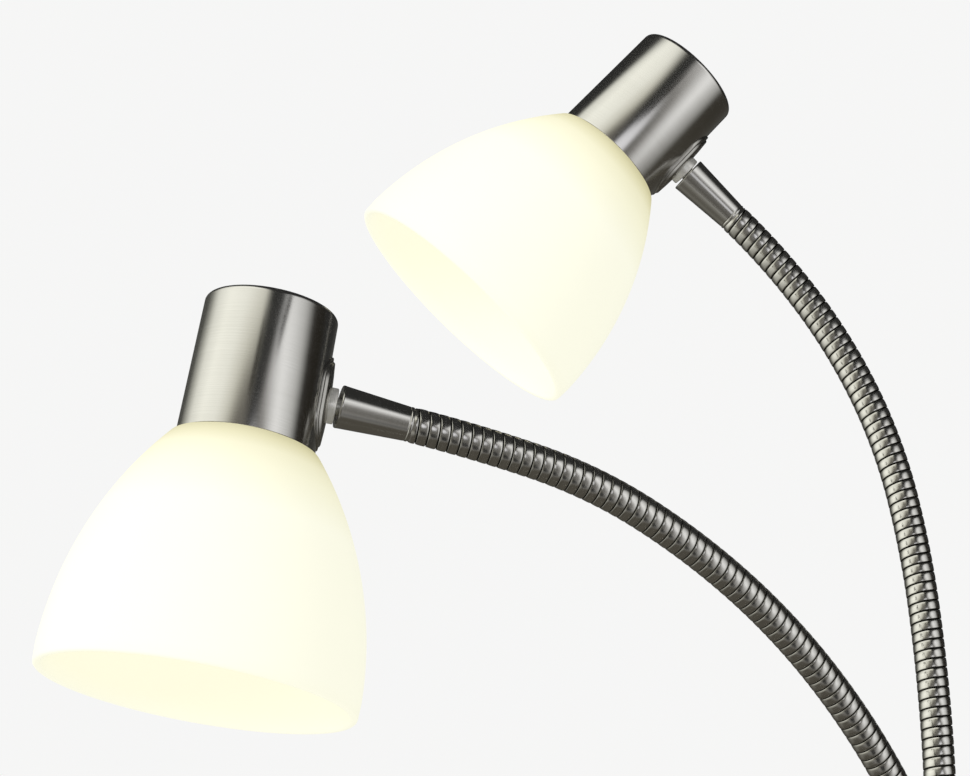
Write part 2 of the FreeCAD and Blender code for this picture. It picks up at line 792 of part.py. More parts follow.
def make_plate(side, place):
    """Round-ended plate wrapped round the cup, and the nut inside that holds it."""
    end = S.plate_width * 0.5
    straight = (S.plate_length - S.plate_width) * 0.5
    block = padded(side + "_plate", "YZ_Plane", [
        (-end, -straight, end),
        (end, -straight),
        (end, straight, end),
        (-end, straight),
    ], S.plate_back, S.neck_collar_end)
    shaped = doc.addObject("Part::Common", side + "_plate_shaped")
    shaped.Base = block
    shaped.Tool = plate_barrel(side + "_plate_barrel")
    plate_tools = [cup_cone(side + "_plate_seat", 0), shank_hole(side + "_plate_hole")]
    finish_part(cut(side + "_plate", shaped, plate_tools), "saddle_plate_" + side, place)

    nut = doc.addObject("Part::Common", side + "_nut_shaped")
    nut.Base = rod(side + "_nut_rod", S.plate_nut_radius, S.plate_nut_low, S.cup_low_radius, V(1, 0, 0))
    nut.Tool = cup_cone(side + "_nut_wall", S.cup_wall)
    finish_part(cut(side + "_nut", nut, [shank_hole(side + "_nut_hole")]), "plate_nut_" + side, place)


def make_cup(side, place):
    wall = S.cup_wall
    edge = S.cup_edge
    cup = turned(side + "_cup", [
        (0, S.cup_top),
        (0, S.cup_top - wall),
        (S.cup_top_radius - edge, S.cup_top - wall, -(edge - wall)),
        (S.cup_top_radius - wall, S.cup_top - edge),
        (S.cup_low_radius - wall, S.cup_low),
        (S.cup_low_radius, S.cup_low),
        (S.cup_top_radius, S.cup_top - edge, edge),
        (S.cup_top_radius - edge, S.cup_top),
    ])
    finish_part(cut(side + "_cup", cup, [shank_hole(side + "_cup_hole")]), "cup_" + side, place)


def make_lampholder(side, place):
    holder = turned(side + "_holder", [
        (0, S.holder_bore_top),
        (0, S.cup_top - S.cup_wall),
        (S.holder_boss_radius, S.cup_top - S.cup_wall),
        (S.holder_boss_radius, S.holder_shoulder),
        (S.holder_radius, S.holder_shoulder),
        (S.holder_radius, S.holder_seat),
        (S.holder_skirt_radius, S.holder_seat),
        (S.holder_skirt_radius, S.holder_low),
        (S.holder_bore_radius, S.holder_low),
        (S.holder_bore_radius, S.holder_bore_top),
    ])
    finish_part(holder, "lampholder_" + side, place)

    flange_low = S.holder_seat - S.shade_thickness
    ring = turned(side + "_ring", ring_outline(
        S.holder_skirt_radius + S.fit_clearance, S.ring_outer_radius,
        flange_low - S.ring_height, flange_low))
    finish_part(ring, "shade_ring_" + side, place)


def make_shade(side, place):
    """Opal glass bell: a flat flange in the cup, a round shoulder and a plain lip."""
    glass = S.shade_thickness
    flange_low = S.holder_seat - glass
    shade = turned(side + "_shade", [
        (S.shade_hole_radius, flange_low),
        (S.shade_hole_radius, S.holder_seat),
        (S.shade_flange_radius, S.holder_seat),
        (S.shade_flange_radius, S.cup_low - S.shade_rim_gap),
        (S.shade_shoulder_radius, S.shade_shoulder, -S.shade_curve),
        (S.shade_radius, S.shade_widest),
        (S.shade_lip_radius, S.shade_low),
        (S.shade_lip_radius - glass, S.shade_low),
        (S.shade_radius - glass, S.shade_widest, S.shade_inner_curve),
        (S.shade_shoulder_radius - glass, S.shade_shoulder - S.shade_inner_drop),
        (S.shade_inner_flange, flange_low),
    ])
    finish_part(shade, "glass_shade_" + side, place)


def envelope_outline(neck, cap_edge, radius, centre, way):
    """Hollow glass envelope of a bulb that hangs (-1) or stands (1) on its cap."""
    wall = S.bulb_wall
    inner_neck = neck - wall
    inner_radius = radius - wall
    drop = math.sqrt(radius.value ** 2 - neck.value ** 2) * way
    inner_drop = math.sqrt(inner_radius.value ** 2 - inner_neck.value ** 2) * way
    return [
        (0, centre + radius * way, -radius * way),
        (radius, centre, -radius * way),
        (neck, centre - drop),
        (neck, cap_edge),
        (inner_neck, cap_edge),
        (inner_neck, centre - inner_drop, inner_radius * way),
        (inner_radius, centre, inner_radius * way),
        (0, centre + inner_radius * way),
    ]


def make_bulb(side, place):
    """Globe lamp: a screw cap in the holder and a round envelope below it."""
    cap = turned(side + "_bulb_cap", [
        (0, S.bulb_cap_low),
        (S.bulb_cap_radius, S.bulb_cap_low),
        (S.bulb_cap_radius, S.bulb_cap_top - S.bulb_tip_height),
        (S.bulb_tip_radius, S.bulb_cap_top),
        (0, S.bulb_cap_top),
    ])
    finish_part(cap, "bulb_cap_" + side, place)
    globe = turned(side + "_bulb", envelope_outline(
        S.bulb_neck_radius, S.bulb_cap_low, S.bulb_radius, S.bulb_centre, -1))
    finish_part(globe, "bulb_" + side, place)


# Uplight on top of the pole.

def make_uplight():
    wall = S.uplight_cup_wall
    low = S.uplight_cup_low
    high = S.uplight_cup_high
    bevel = S.uplight_cup_bevel
    cup = turned("uplight_cup_body", [
        (S.pole_radius + S.fit_clearance, low),
        (S.uplight_cup_radius - bevel, low, S.uplight_cup_bevel),
        (S.uplight_cup_radius, low + bevel),
        (S.uplight_cup_radius, high),
        (S.uplight_cup_radius - wall, high),
        (S.uplight_cup_radius - wall, low + bevel, -(S.uplight_cup_bevel - wall)),
        (S.uplight_cup_radius - bevel, low + wall),
        (S.pole_radius + S.fit_clearance, low + wall),
    ])
    finish_part(cup, "uplight_cup")

    seat = high
    holder = turned("uplight_holder_body", [
        (0, S.pole_top),
        (S.uplight_holder_radius, S.pole_top),
        (S.uplight_holder_radius, seat),
        (S.uplight_skirt_radius, seat),
        (S.uplight_skirt_radius, S.uplight_holder_high),
        (S.uplight_bore_radius, S.uplight_holder_high),
        (S.uplight_bore_radius, S.uplight_bore_low),
        (0, S.uplight_bore_low),
    ])
    finish_part(holder, "uplight_lampholder")

    glass = S.bowl_thickness
    bowl = turned("bowl_body", [
        (S.bowl_hole_radius, seat),
        (S.bowl_foot_radius, seat, S.bowl_curve),
        (S.bowl_radius, S.bowl_high),
        (S.bowl_radius - glass, S.bowl_high, -(S.bowl_curve - glass)),
        (S.bowl_foot_radius - S.bowl_inner_step, seat + glass),
        (S.bowl_hole_radius, seat + glass),
    ])
    finish_part(bowl, "uplight_bowl")

    ring = turned("uplight_ring_body", ring_outline(
        S.uplight_skirt_radius + S.fit_clearance, S.uplight_ring_radius,
        seat + glass, seat + glass + S.uplight_ring_height))
    finish_part(ring, "uplight_ring")

    cap = turned("uplight_cap_body", [
        (0, S.uplight_cap_low),
        (S.uplight_tip_radius, S.uplight_cap_low),
        (S.uplight_cap_radius, S.uplight_cap_low + S.uplight_tip_height),
        (S.uplight_cap_radius, S.uplight_cap_high),
        (0, S.uplight_cap_high),
    ])
    finish_part(cap, "uplight_bulb_cap")

    bulb = turned("uplight_bulb_body", envelope_outline(
        S.uplight_cap_radius, S.uplight_cap_high, S.uplight_bulb_radius, S.uplight_bulb_centre, 1))
    finish_part(bulb, "uplight_bulb")


def make_reading_light(side):
    make_socket(side)
    ball_centre = make_sleeve(side, make_hose(side))
    place = head_placement(side, ball_centre)
    make_neck(side, place)
    make_plate(side, place)
    make_cup(side, place)
    make_lampholder(side, place)
    make_shade(side, place)
    make_bulb(side, place)


def write_parts():
    """Check every object and sub-part, then write each sub-part to its own file."""
    doc.recompute()
    faults = []
    for item in doc.Objects:
        if "Invalid" in item.State or "Error" in item.State:
            faults.append(f"{item.Name}: {item.State}")
    for name, item in parts:
        shape = item.Shape
        if shape.isNull() or not shape.isValid() or not shape.Solids:
            faults.append(f"{name}: no valid solid")
    if faults:
        raise RuntimeError("; ".join(faults))
    os.makedirs("parts", exist_ok=True)
    for name, item in parts:
        item.Shape.exportStep(f"parts/{name}.step")
        print(name, len(item.Shape.Solids), "solid, volume", round(item.Shape.Volume))
    print(len(parts), "sub-parts")


make_base()
make_pole()
make_hub_body()
make_hub_lid()
make_knobs()
make_reading_light("left")
make_reading_light("right")
make_uplight()
write_parts()
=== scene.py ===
import json
import math

import bmesh
import bpy
from mathutils import Matrix, Vector

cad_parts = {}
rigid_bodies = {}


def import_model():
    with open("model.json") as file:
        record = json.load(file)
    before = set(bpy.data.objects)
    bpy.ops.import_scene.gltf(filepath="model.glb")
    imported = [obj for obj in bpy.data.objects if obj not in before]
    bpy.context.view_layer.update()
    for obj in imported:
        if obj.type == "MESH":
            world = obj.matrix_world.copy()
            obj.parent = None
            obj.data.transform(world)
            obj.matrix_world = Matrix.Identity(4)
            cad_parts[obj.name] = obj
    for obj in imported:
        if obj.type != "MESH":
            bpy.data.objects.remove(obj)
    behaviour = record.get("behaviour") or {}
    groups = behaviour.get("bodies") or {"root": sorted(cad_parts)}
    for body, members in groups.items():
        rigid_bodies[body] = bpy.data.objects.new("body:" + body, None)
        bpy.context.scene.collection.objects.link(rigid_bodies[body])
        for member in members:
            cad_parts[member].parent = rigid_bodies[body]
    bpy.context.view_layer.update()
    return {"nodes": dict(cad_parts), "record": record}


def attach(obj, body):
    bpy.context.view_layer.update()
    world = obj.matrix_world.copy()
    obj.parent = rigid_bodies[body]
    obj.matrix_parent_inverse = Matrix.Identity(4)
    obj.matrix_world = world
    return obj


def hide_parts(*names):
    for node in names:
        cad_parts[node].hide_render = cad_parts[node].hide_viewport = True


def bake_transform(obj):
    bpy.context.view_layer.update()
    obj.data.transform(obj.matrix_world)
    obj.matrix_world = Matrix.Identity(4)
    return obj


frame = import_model()
scene = bpy.context.scene

# Outlines are in millimetres, as on a drawing; places and meshes are in metres.
MM = 0.001

# Goosenecks: their hinged lengths, and the pitch of the winding.
HOSE_LENGTHS = 6
LINK = 49.2
PITCH = 4.1
HOSE_END = HOSE_LENGTHS * LINK

# Heights above the floor.
HUB_TOP = 1250.0
KNOB_HEIGHT = 1233.0

# Reading heads: how far the hose's sleeve reaches past its ball, and the ball past the
# cup's axis. The cup's heights are above its neck.
SLEEVE_LENGTH = 28.1
SLEEVE_DEPTH = 6.0
NECK_REACH = 37.0
CUP_TOP = 32.6
CUP_LOW = -21.4
CUP_TOP_RADIUS = 25.3
CUP_LOW_RADIUS = 25.9

# Each gooseneck: where it leaves the hub, its lean from vertical and compass direction
# at each hinge and at its end, and how its head is turned, as in the solids.
ARMS = {
    "left": {
        "mouth": (-37.3, -18.0, 1266.3),
        "leans": [24.4, 34.5, 43.1, 51.9, 59.9, 72.4, 76.3],
        "headings": [209.9, 208.0, 207.0, 204.6, 201.5, 196.3, 190.9],
        "neck_heading": 186.3,
        "neck_rise": 11.1,
        "head_roll": 14.7,
    },
    "right": {
        "mouth": (-26.5, 12.0, 1271.7),
        "leans": [10.1, 12.6, 14.8, 18.0, 26.5, 36.2, 46.2],
        "headings": [82.3, 97.1, 108.5, 127.8, 151.2, 167.8, 181.4],
        "neck_heading": 188.5,
        "neck_rise": 44.4,
        "head_roll": 2.4,
    },
}

record = frame["record"]
BODY_OF = {node: body for body, nodes in record["behaviour"]["bodies"].items() for node in nodes}
SLOT_OF = {part["node"]: part["material_slot"] for part in record["subparts"]}


# Materials


class Shader:
    """A material's node tree with a few short calls to fill it."""

    def __init__(self, name):
        self.material = bpy.data.materials.new(name)
        self.material.use_nodes = True
        self.tree = self.material.node_tree
        self.surface = self.tree.nodes["Principled BSDF"]
        self.output = self.tree.nodes["Material Output"]

    def add(self, kind, **settings):
        node = self.tree.nodes.new(kind)
        for key, value in settings.items():
            setattr(node, key, value)
        return node

    def link(self, source, target):
        self.tree.links.new(source, target)

    def coordinates(self, kind="Object", scale=(1.0, 1.0, 1.0)):
        """A texture space, stretched by a scale for each of its axes."""
        source = self.add("ShaderNodeTexCoord")
        mapping = self.add("ShaderNodeMapping")
        mapping.inputs["Scale"].default_value = scale
        self.link(source.outputs[kind], mapping.inputs["Vector"])
        return mapping.outputs["Vector"]

    def noise(self, space, scale, detail=2.0, roughness=0.5):
        node = self.add("ShaderNodeTexNoise")
        node.inputs["Scale"].default_value = scale
        node.inputs["Detail"].default_value = detail
        node.inputs["Roughness"].default_value = roughness
        self.link(space, node.inputs["Vector"])
        return node.outputs["Fac"]

    def ramp(self, source, stops):
        node = self.add("ShaderNodeValToRGB")
        elements = node.color_ramp.elements
        while len(elements) < len(stops):
            elements.new(0.5)
        for element, (place, colour) in zip(elements, stops):
            element.position = place
            element.color = (*colour, 1.0)
        self.link(source, node.inputs["Fac"])
        return node.outputs["Color"]

    def spread(self, source, low, high, start=0.3, end=0.7):
        """A value from low to high as the source goes from start to end."""
        node = self.add("ShaderNodeMapRange")
        node.inputs["From Min"].default_value = start
        node.inputs["From Max"].default_value = end
        node.inputs["To Min"].default_value = low
        node.inputs["To Max"].default_value = high
        self.link(source, node.inputs["Value"])
        return node.outputs["Result"]

    def maths(self, operation, first, second=None):
        node = self.add("ShaderNodeMath", operation=operation)
        for socket, value in zip(node.inputs, (first, second)):
            if value is None:
                continue
            if isinstance(value, (int, float)):
                socket.default_value = value
            else:
                self.link(value, socket)
        return node.outputs["Value"]

    def bump(self, height, depth):
        node = self.add("ShaderNodeBump")
        node.inputs["Strength"].default_value = 1.0
        node.inputs["Distance"].default_value = depth
        self.link(height, node.inputs["Height"])
        self.link(node.outputs["Normal"], self.surface.inputs["Normal"])

    def set(self, **values):
        for key, value in values.items():
            self.surface.inputs[key.replace("_", " ")].default_value = value


def metal(name, dark, light, smooth, rough, brush, metallic=1.0):
    """Plated metal: fine lines along the UV's first axis, with faint cloudy wear."""
    shader = Shader(name)
    shader.set(Metallic=metallic)
    lines = shader.noise(shader.coordinates("UV", (25.0, 2600.0, 1.0)), 1.0, 2.0)
    clouds = shader.noise(shader.coordinates(), 45.0, 3.0)
    fine_part = shader.maths("MULTIPLY", lines, 0.55)
    cloudy_part = shader.maths("MULTIPLY", clouds, 0.45)
    both = shader.maths("ADD", fine_part, cloudy_part)
    colour = shader.ramp(both, [(0.32, dark), (0.68, light)])
    shader.link(colour, shader.surface.inputs["Base Color"])
    shader.link(shader.spread(both, smooth, rough), shader.surface.inputs["Roughness"])
    shader.bump(lines, brush)
    return shader.material


def hose_metal():
    """Strip-wound metal with fine lines along the winding; its colour has painted shade in the joints
    between turns and a painted highlight across the middle of each turn.
    """
    shader = Shader("hose_metal")
    shader.set(Metallic=1.0)
    space = shader.add("ShaderNodeTexCoord")
    parts = shader.add("ShaderNodeSeparateXYZ")
    shader.link(space.outputs["UV"], parts.inputs["Vector"])
    along = shader.maths("FRACT", parts.outputs["Y"])
    # Painted shade darkens the joints between turns, and a painted highlight lightens the middle of
    # each turn.
    rib_shade_and_highlight = shader.ramp(along, [
        (0.0, (0.05, 0.048, 0.043)),
        (0.07, (0.10, 0.095, 0.085)),
        (0.12, (0.76, 0.75, 0.71)),
        (0.55, (0.84, 0.83, 0.80)),
        (0.91, (0.70, 0.69, 0.65)),
        (0.97, (0.08, 0.075, 0.07)),
    ])
    lines = shader.noise(shader.coordinates("UV", (4.0, 14.0, 1.0)), 1.0, 2.0)
    tint = shader.add("ShaderNodeMix", data_type="RGBA", blend_type="MULTIPLY")
    tint.inputs["Factor"].default_value = 1.0
    shader.link(rib_shade_and_highlight, tint.inputs[6])
    shade = shader.ramp(lines, [(0.3, (0.86, 0.86, 0.86)), (0.7, (1.0, 1.0, 1.0))])
    shader.link(shade, tint.inputs[7])
    shader.link(tint.outputs[2], shader.surface.inputs["Base Color"])
    shader.link(shader.spread(lines, 0.13, 0.24), shader.surface.inputs["Roughness"])
    shader.bump(lines, 0.00001)
    return shader.material


def moulded(name, dark, light, rough, grain, depth):
    """Moulded or painted stuff with a fine grain."""
    shader = Shader(name)
    fine = shader.noise(shader.coordinates(), grain, 4.0, 0.6)
    broad = shader.noise(shader.coordinates(), 40.0, 2.0)
    shader.link(shader.ramp(broad, [(0.3, dark), (0.7, light)]), shader.surface.inputs["Base Color"])
    shader.link(shader.spread(fine, rough - 0.06, rough + 0.08), shader.surface.inputs["Roughness"])
    shader.bump(fine, depth)
    return shader.material


def felt():
    shader = Shader("felt")
    shader.set(Sheen_Weight=0.4, Sheen_Roughness=0.6)
    fibres = shader.noise(shader.coordinates(), 1400.0, 5.0, 0.7)
    patches = shader.noise(shader.coordinates(), 60.0, 3.0)
    colour = shader.ramp(patches, [(0.3, (0.045, 0.045, 0.047)), (0.7, (0.085, 0.085, 0.088))])
    shader.link(colour, shader.surface.inputs["Base Color"])
    shader.link(shader.spread(fibres, 0.85, 1.0), shader.surface.inputs["Roughness"])
    shader.bump(fibres, 0.0004)
    return shader.material


def glowing(name, stops, reach, base, strength, gloss):
    """Opal glass lit from inside. The glow changes along the UV's second value."""
    shader = Shader(name)
    shader.set(Specular_IOR_Level=gloss, Emission_Strength=strength)
    space = shader.add("ShaderNodeTexCoord")
    parts = shader.add("ShaderNodeSeparateXYZ")
    shader.link(space.outputs["UV"], parts.inputs["Vector"])
    along = shader.spread(parts.outputs["Y"], 0.0, 1.0, reach[0], reach[1])
    shader.link(shader.ramp(along, stops), shader.surface.inputs["Emission Color"])
    cloud = shader.noise(shader.coordinates(), 30.0, 3.0)
    darker = tuple(c * 0.96 for c in base)
    shader.link(shader.ramp(cloud, [(0.3, darker), (0.7, base)]), shader.surface.inputs["Base Color"])
    shader.link(shader.spread(cloud, 0.42, 0.50), shader.surface.inputs["Roughness"])
    return shader.material


# Dark and light tone, least and most roughness, depth of the brushing, share of metal.
METALS = {
    "nickel": ((0.70, 0.69, 0.66), (0.78, 0.77, 0.745), 0.13, 0.20, 0.000004),
    "neck_metal": ((0.76, 0.75, 0.71), (0.90, 0.89, 0.86), 0.24, 0.38, 0.00002, 0.5),
    "plate_metal": ((0.46, 0.45, 0.42), (0.60, 0.59, 0.56), 0.20, 0.30, 0.00002),
    "bright_nickel": ((0.80, 0.79, 0.77), (0.86, 0.855, 0.83), 0.06, 0.11, 0.000001),
    "zinc": ((0.50, 0.51, 0.53), (0.66, 0.67, 0.69), 0.24, 0.40, 0.000008),
    "bulb_cap": ((0.62, 0.62, 0.61), (0.76, 0.76, 0.75), 0.2, 0.32, 0.000004),
}
# Dark and light tone, roughness, fineness and depth of the grain.
MOULDED = {
    "cast_iron": ((0.025, 0.025, 0.026), (0.05, 0.05, 0.05), 0.62, 420.0, 0.0004),
    "rubber": ((0.018, 0.018, 0.018), (0.035, 0.035, 0.034), 0.6, 900.0, 0.00004),
    "black_plastic": ((0.02, 0.02, 0.021), (0.04, 0.04, 0.042), 0.38, 1500.0, 0.00003),
    "holder_plastic": ((0.74, 0.72, 0.66), (0.84, 0.82, 0.77), 0.42, 1200.0, 0.00003),
}
BULB_TIP = (0.95, 0.94, 0.84)
BULB_NECK = (0.90, 0.88, 0.72)
BULB_BASE = (0.30, 0.30, 0.28)
OPAL_BASE = (0.22, 0.215, 0.19)
# Tones of the glow, where they start and end, base colour, strength and gloss.
GLOWING = {
    "bulb_glass": ([(0.0, BULB_TIP), (1.0, BULB_NECK)], (-0.0775, -0.03), BULB_BASE, 0.9, 0.2),
    "uplight_bulb_glass": ([(0.0, BULB_NECK), (1.0, BULB_TIP)], (1.748, 1.805), BULB_BASE, 0.9, 0.2),
    "opal_glass": ([
        (0.0, (0.50, 0.47, 0.24)),
        (0.10, (0.56, 0.52, 0.27)),
        (0.115, (0.68, 0.64, 0.37)),
        (0.14, (0.82, 0.79, 0.54)),
        (0.18, (0.89, 0.87, 0.64)),
        (0.26, (0.95, 0.945, 0.78)),
        (0.50, (0.95, 0.945, 0.78)),
        (0.53, (0.94, 0.93, 0.75)),
        (0.56, (0.95, 0.93, 0.72)),
        (0.94, (0.93, 0.91, 0.70)),
        (1.0, (0.60, 0.58, 0.30)),
    ], (0.0, 0.236), OPAL_BASE, 0.86, 0.1),
    "bowl_glass": ([
        (0.0, (0.80, 0.77, 0.52)),
        (0.12, (0.95, 0.93, 0.78)),
        (0.85, (0.92, 0.90, 0.76)),
        (1.0, (0.84, 0.82, 0.66)),
    ], (1.722, 1.814), OPAL_BASE, 0.84, 0.1),
}

MATERIALS = {"hose": hose_metal(), "felt": felt()}
for make, finishes in ((metal, METALS), (moulded, MOULDED), (glowing, GLOWING)):
    for name, finish in finishes.items():
        MATERIALS[name] = make(name, *finish)


# Mesh tools

# A point this near to the axis is on it.
ON_AXIS = 1e-9
# A corner that turns by less than this stays as it is.
GENTLE_TURN = math.radians(20)
SOFT_STEPS = 3


def arc_points(start, end, radius, steps):
    """Points between two corners on an arc. A positive radius has its centre on the left."""
    start = Vector(start)
    end = Vector(end)
    chord = end - start
    left = Vector((-chord.y, chord.x)).normalized()
    side = 1 if radius > 0 else -1
    drop = math.sqrt(max(radius * radius - (chord.length / 2) ** 2, 0.0))
    centre = (start + end) / 2 + left * (side * drop)
    first = math.atan2(*(start - centre).yx)
    turn = math.atan2(*(end - centre).yx) - first
    turn = (turn + math.pi) % math.tau - math.pi
    if abs(abs(turn) - math.pi) < 1e-6:
        turn = math.pi * side
    found = []
    for i in range(1, steps):
        angle = first + turn * i / steps
        found.append(centre + Vector((math.cos(angle), math.sin(angle))) * abs(radius))
    return found


def outline(corners, soft=0.3, arc_steps=24):
    """Closed outline from corners (x, y[, arc radius]), with its sharp corners rounded."""
    longest_share = 0.45
    points = []
    for i, corner in enumerate(corners):
        points.append(Vector(corner[:2]))
        if len(corner) == 3:
            following = corners[(i + 1) % len(corners)]
            points.extend(arc_points(corner[:2], following[:2], corner[2], arc_steps))
    rounded = []
    for i, point in enumerate(points):
        before = points[i - 1] - point
        after = points[(i + 1) % len(points)] - point
        on_axis = abs(point.x) < ON_AXIS
        turn = math.pi - before.angle(after) if before.length and after.length else 0.0
        if on_axis or turn < GENTLE_TURN:
            rounded.append(point)
            continue
        reach = min(soft, before.length * longest_share, after.length * longest_share)
        first = point + before.normalized() * reach
        last = point + after.normalized() * reach
        for k in range(SOFT_STEPS + 1):
            t = k / SOFT_STEPS
            rounded.append(first * (1 - t) ** 2 + point * (2 * t * (1 - t)) + last * t ** 2)
    return rounded


def make_object(name, verts, faces, uvs, material, place=Matrix.Identity(4), sharp=50):
    """Smooth-shaded mesh object from points in millimetres, set in place by a matrix."""
    mesh = bpy.data.meshes.new(name)
    mesh.from_pydata([place @ (Vector(v) * MM) for v in verts], [], faces)
    layer = mesh.uv_layers.new(name="UVMap")
    flat = [uv for face in uvs for uv in face]
    for loop, uv in zip(layer.data, flat):
        loop.uv = uv
    mesh.materials.append(material)
    work = bmesh.new()
    work.from_mesh(mesh)
    bmesh.ops.recalc_face_normals(work, faces=work.faces)
    work.to_mesh(mesh)
    work.free()
    for face in mesh.polygons:
        face.use_smooth = True
    mesh.set_sharp_from_angle(angle=math.radians(sharp))
    piece = bpy.data.objects.new(name, mesh)
    scene.collection.objects.link(piece)
    return piece


def turned_mesh(points, steps=96, shape=None, upright=False):
    """Verts, faces and UVs of a closed outline turned about Z. Shape may change a radius.

    The UV's second value is the way along the outline, or the height if upright.
    """
    verts = []
    rows = []
    travel = [0.0]
    for i, point in enumerate(points):
        travel.append(travel[-1] + (points[(i + 1) % len(points)] - point).length)
        if abs(point.x) < ON_AXIS:
            rows.append([len(verts)] * steps)
            verts.append((0.0, 0.0, point.y))
            continue
        row = []
        for k in range(steps):
            angle = math.tau * k / steps
            radius = shape(point.x, point.y, angle) if shape else point.x
            row.append(len(verts))
            verts.append((radius * math.cos(angle), radius * math.sin(angle), point.y))
        rows.append(row)
    faces = []
    uvs = []
    for i, row in enumerate(rows):
        after = rows[(i + 1) % len(rows)]
        here = points[i]
        there = points[(i + 1) % len(points)]
        if here.x < ON_AXIS and there.x < ON_AXIS:
            continue
        width = max(here.x, there.x) * MM
        low = (here.y if upright else travel[i]) * MM
        high = (there.y if upright else travel[i + 1]) * MM
        for k in range(steps):
            n = (k + 1) % steps
            left = math.tau * k / steps * width
            right = math.tau * (k + 1) / steps * width
            corners = [(row[k], (left, low)), (row[n], (right, low)),
                       (after[n], (right, high)), (after[k], (left, high))]
            seen = []
            for corner in corners:
                if corner[0] not in [s[0] for s in seen]:
                    seen.append(corner)
            faces.append([s[0] for s in seen])
            uvs.append([s[1] for s in seen])
    return verts, faces, uvs


def dress(piece, *nodes):
    """The piece stands for these nodes: it rides on their body, and the nodes are hidden."""
    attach(piece, BODY_OF[nodes[0]])
    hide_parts(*nodes)
    return piece


def turn(node, corners, place=Matrix.Identity(4), soft=0.3, steps=96, shape=None, material=None,
         arc_steps=24, name=None, upright=False):
    """Turned piece in place of a node."""
    verts, faces, uvs = turned_mesh(outline(corners, soft, arc_steps), steps, shape, upright)
    stuff = MATERIALS[material or SLOT_OF[node]]
    piece = make_object(name or node + "_piece", verts, faces, uvs, stuff, place)
    return dress(piece, node)


def slot_ring(radius, reach, height):
    """Points round a slot whose far half circle is at -X by the reach."""
    arc_steps = 32
    points = []
    for k in range(arc_steps + 1):
        angle = -math.pi / 2 + math.pi * k / arc_steps
        points.append((radius * math.cos(angle), radius * math.sin(angle), height))
    for k in range(arc_steps + 1):
        angle = math.pi / 2 + math.pi * k / arc_steps
        points.append((radius * math.cos(angle) - reach, radius * math.sin(angle), height))
    return points


def skin(rings):
    """Verts, faces and UVs of a closed skin over rings that have the same count of points."""
    step = 0.002
    verts = [p for ring in rings for p in ring]
    count = len(rings[0])
    faces = []
    uvs = []
    for i in range(len(rings)):
        j = (i + 1) % len(rings)
        low = i * step
        high = low + step
        for k in range(count):
            n = (k + 1) % count
            left = k * step
            right = left + step
            faces.append([i * count + k, i * count + n, j * count + n, j * count + k])
            uvs.append([(left, low), (right, low), (right, high), (left, high)])
    return verts, faces, uvs


def frame_matrix(x_axis, z_axis, origin):
    """Placement with the given X and Z directions. The origin is in millimetres."""
    y_axis = z_axis.cross(x_axis)
    turn_part = Matrix((x_axis, y_axis, z_axis)).transposed().to_4x4()
    return Matrix.Translation(Vector(origin) * MM) @ turn_part


# Goosenecks


def hose_direction(side, hinge):
    """Unit vector along a gooseneck at one of its hinges, or at its far end."""
    lean = math.radians(ARMS[side]["leans"][hinge])
    heading = math.radians(ARMS[side]["headings"][hinge])
    level = math.sin(lean)
    return Vector((level * math.cos(heading), level * math.sin(heading), math.cos(lean)))


def link_point(start, first, last, along):
    """Place and direction on one bent link, and straight on past its ends."""
    inside = min(max(along, 0.0), LINK)
    bend = first.angle(last)
    turn_angle = bend * inside / LINK
    aside = (last - first * first.dot(last)).normalized()
    radius = LINK / bend
    tangent = first * math.cos(turn_angle) + aside * math.sin(turn_angle)
    place = start + (first * math.sin(turn_angle) + aside * (1 - math.cos(turn_angle))) * radius
    return place + tangent * (along - inside), tangent


def link_starts(side):
    starts = [Vector(ARMS[side]["mouth"])]
    for number in range(HOSE_LENGTHS):
        first = hose_direction(side, number)
        last = hose_direction(side, number + 1)
        starts.append(link_point(starts[-1], first, last, LINK)[0])
    return starts


def hose_point(side, starts, along):
    """Place and direction at a distance along the whole gooseneck."""
    number = min(max(int(along // LINK), 0), HOSE_LENGTHS - 1)
    first = hose_direction(side, number)
    last = hose_direction(side, number + 1)
    return link_point(starts[number], first, last, along - number * LINK)


# One turn of the winding: how far along it, and the radius there.
RIB = [(0.0, 6.1), (0.03, 6.2), (0.05, 6.55), (0.10, 6.68), (0.2, 6.73), (0.36, 6.75),
       (0.55, 6.74), (0.74, 6.70), (0.90, 6.62), (0.95, 6.5), (0.975, 6.2)]
# Points round one turn.
ROUND = 48
# The winding narrows from its full radius to this over its last millimetre.
HIDDEN_RADIUS = 6.2
NARROWING = 0.55


def gooseneck_section(side, starts, name, start_turn, end_turn):
    """Strip-wound tube between two turns of its winding, with fine joints between them."""
    rows = []
    for turn_number in range(start_turn, end_turn + 1):
        for part, radius in RIB:
            rows.append((turn_number + part, radius))
    count = (end_turn - start_turn) * len(RIB)
    verts = []
    index = {}

    def vertex(row, column):
        if (row, column) not in index:
            angle = math.tau * column / ROUND
            along = (rows[row][0] + column / ROUND) * PITCH
            inside = min(max(HOSE_END - along, 0.0), 1.0)
            radius = min(rows[row][1], HIDDEN_RADIUS + NARROWING * inside)
            place, tangent = hose_point(side, starts, along)
            across = tangent.cross(Vector((0, 1, 0))).normalized()
            normal = across.cross(tangent)
            index[(row, column)] = len(verts)
            verts.append(place + (normal * math.cos(angle) + across * math.sin(angle)) * radius)
        return index[(row, column)]

    after_last = rows[-1][0] + 0.02
    faces = []
    uvs = []
    for row in range(count):
        for column in range(ROUND):
            cells = []
            for r, c in ((row, column), (row, column + 1), (row + 1, column + 1), (row + 1, column)):
                if c == ROUND:
                    corner = vertex(r + len(RIB), 0) if r + len(RIB) < len(rows) else None
                else:
                    corner = vertex(r, c)
                travel = rows[r][0] if r < len(rows) else after_last
                cells.append((corner, (c / ROUND, travel)))
            if any(c[0] is None for c in cells):
                continue
            faces.append([c[0] for c in cells])
            uvs.append([c[1] for c in cells])
    return make_object(name, verts, faces, uvs, MATERIALS["hose"], sharp=70)


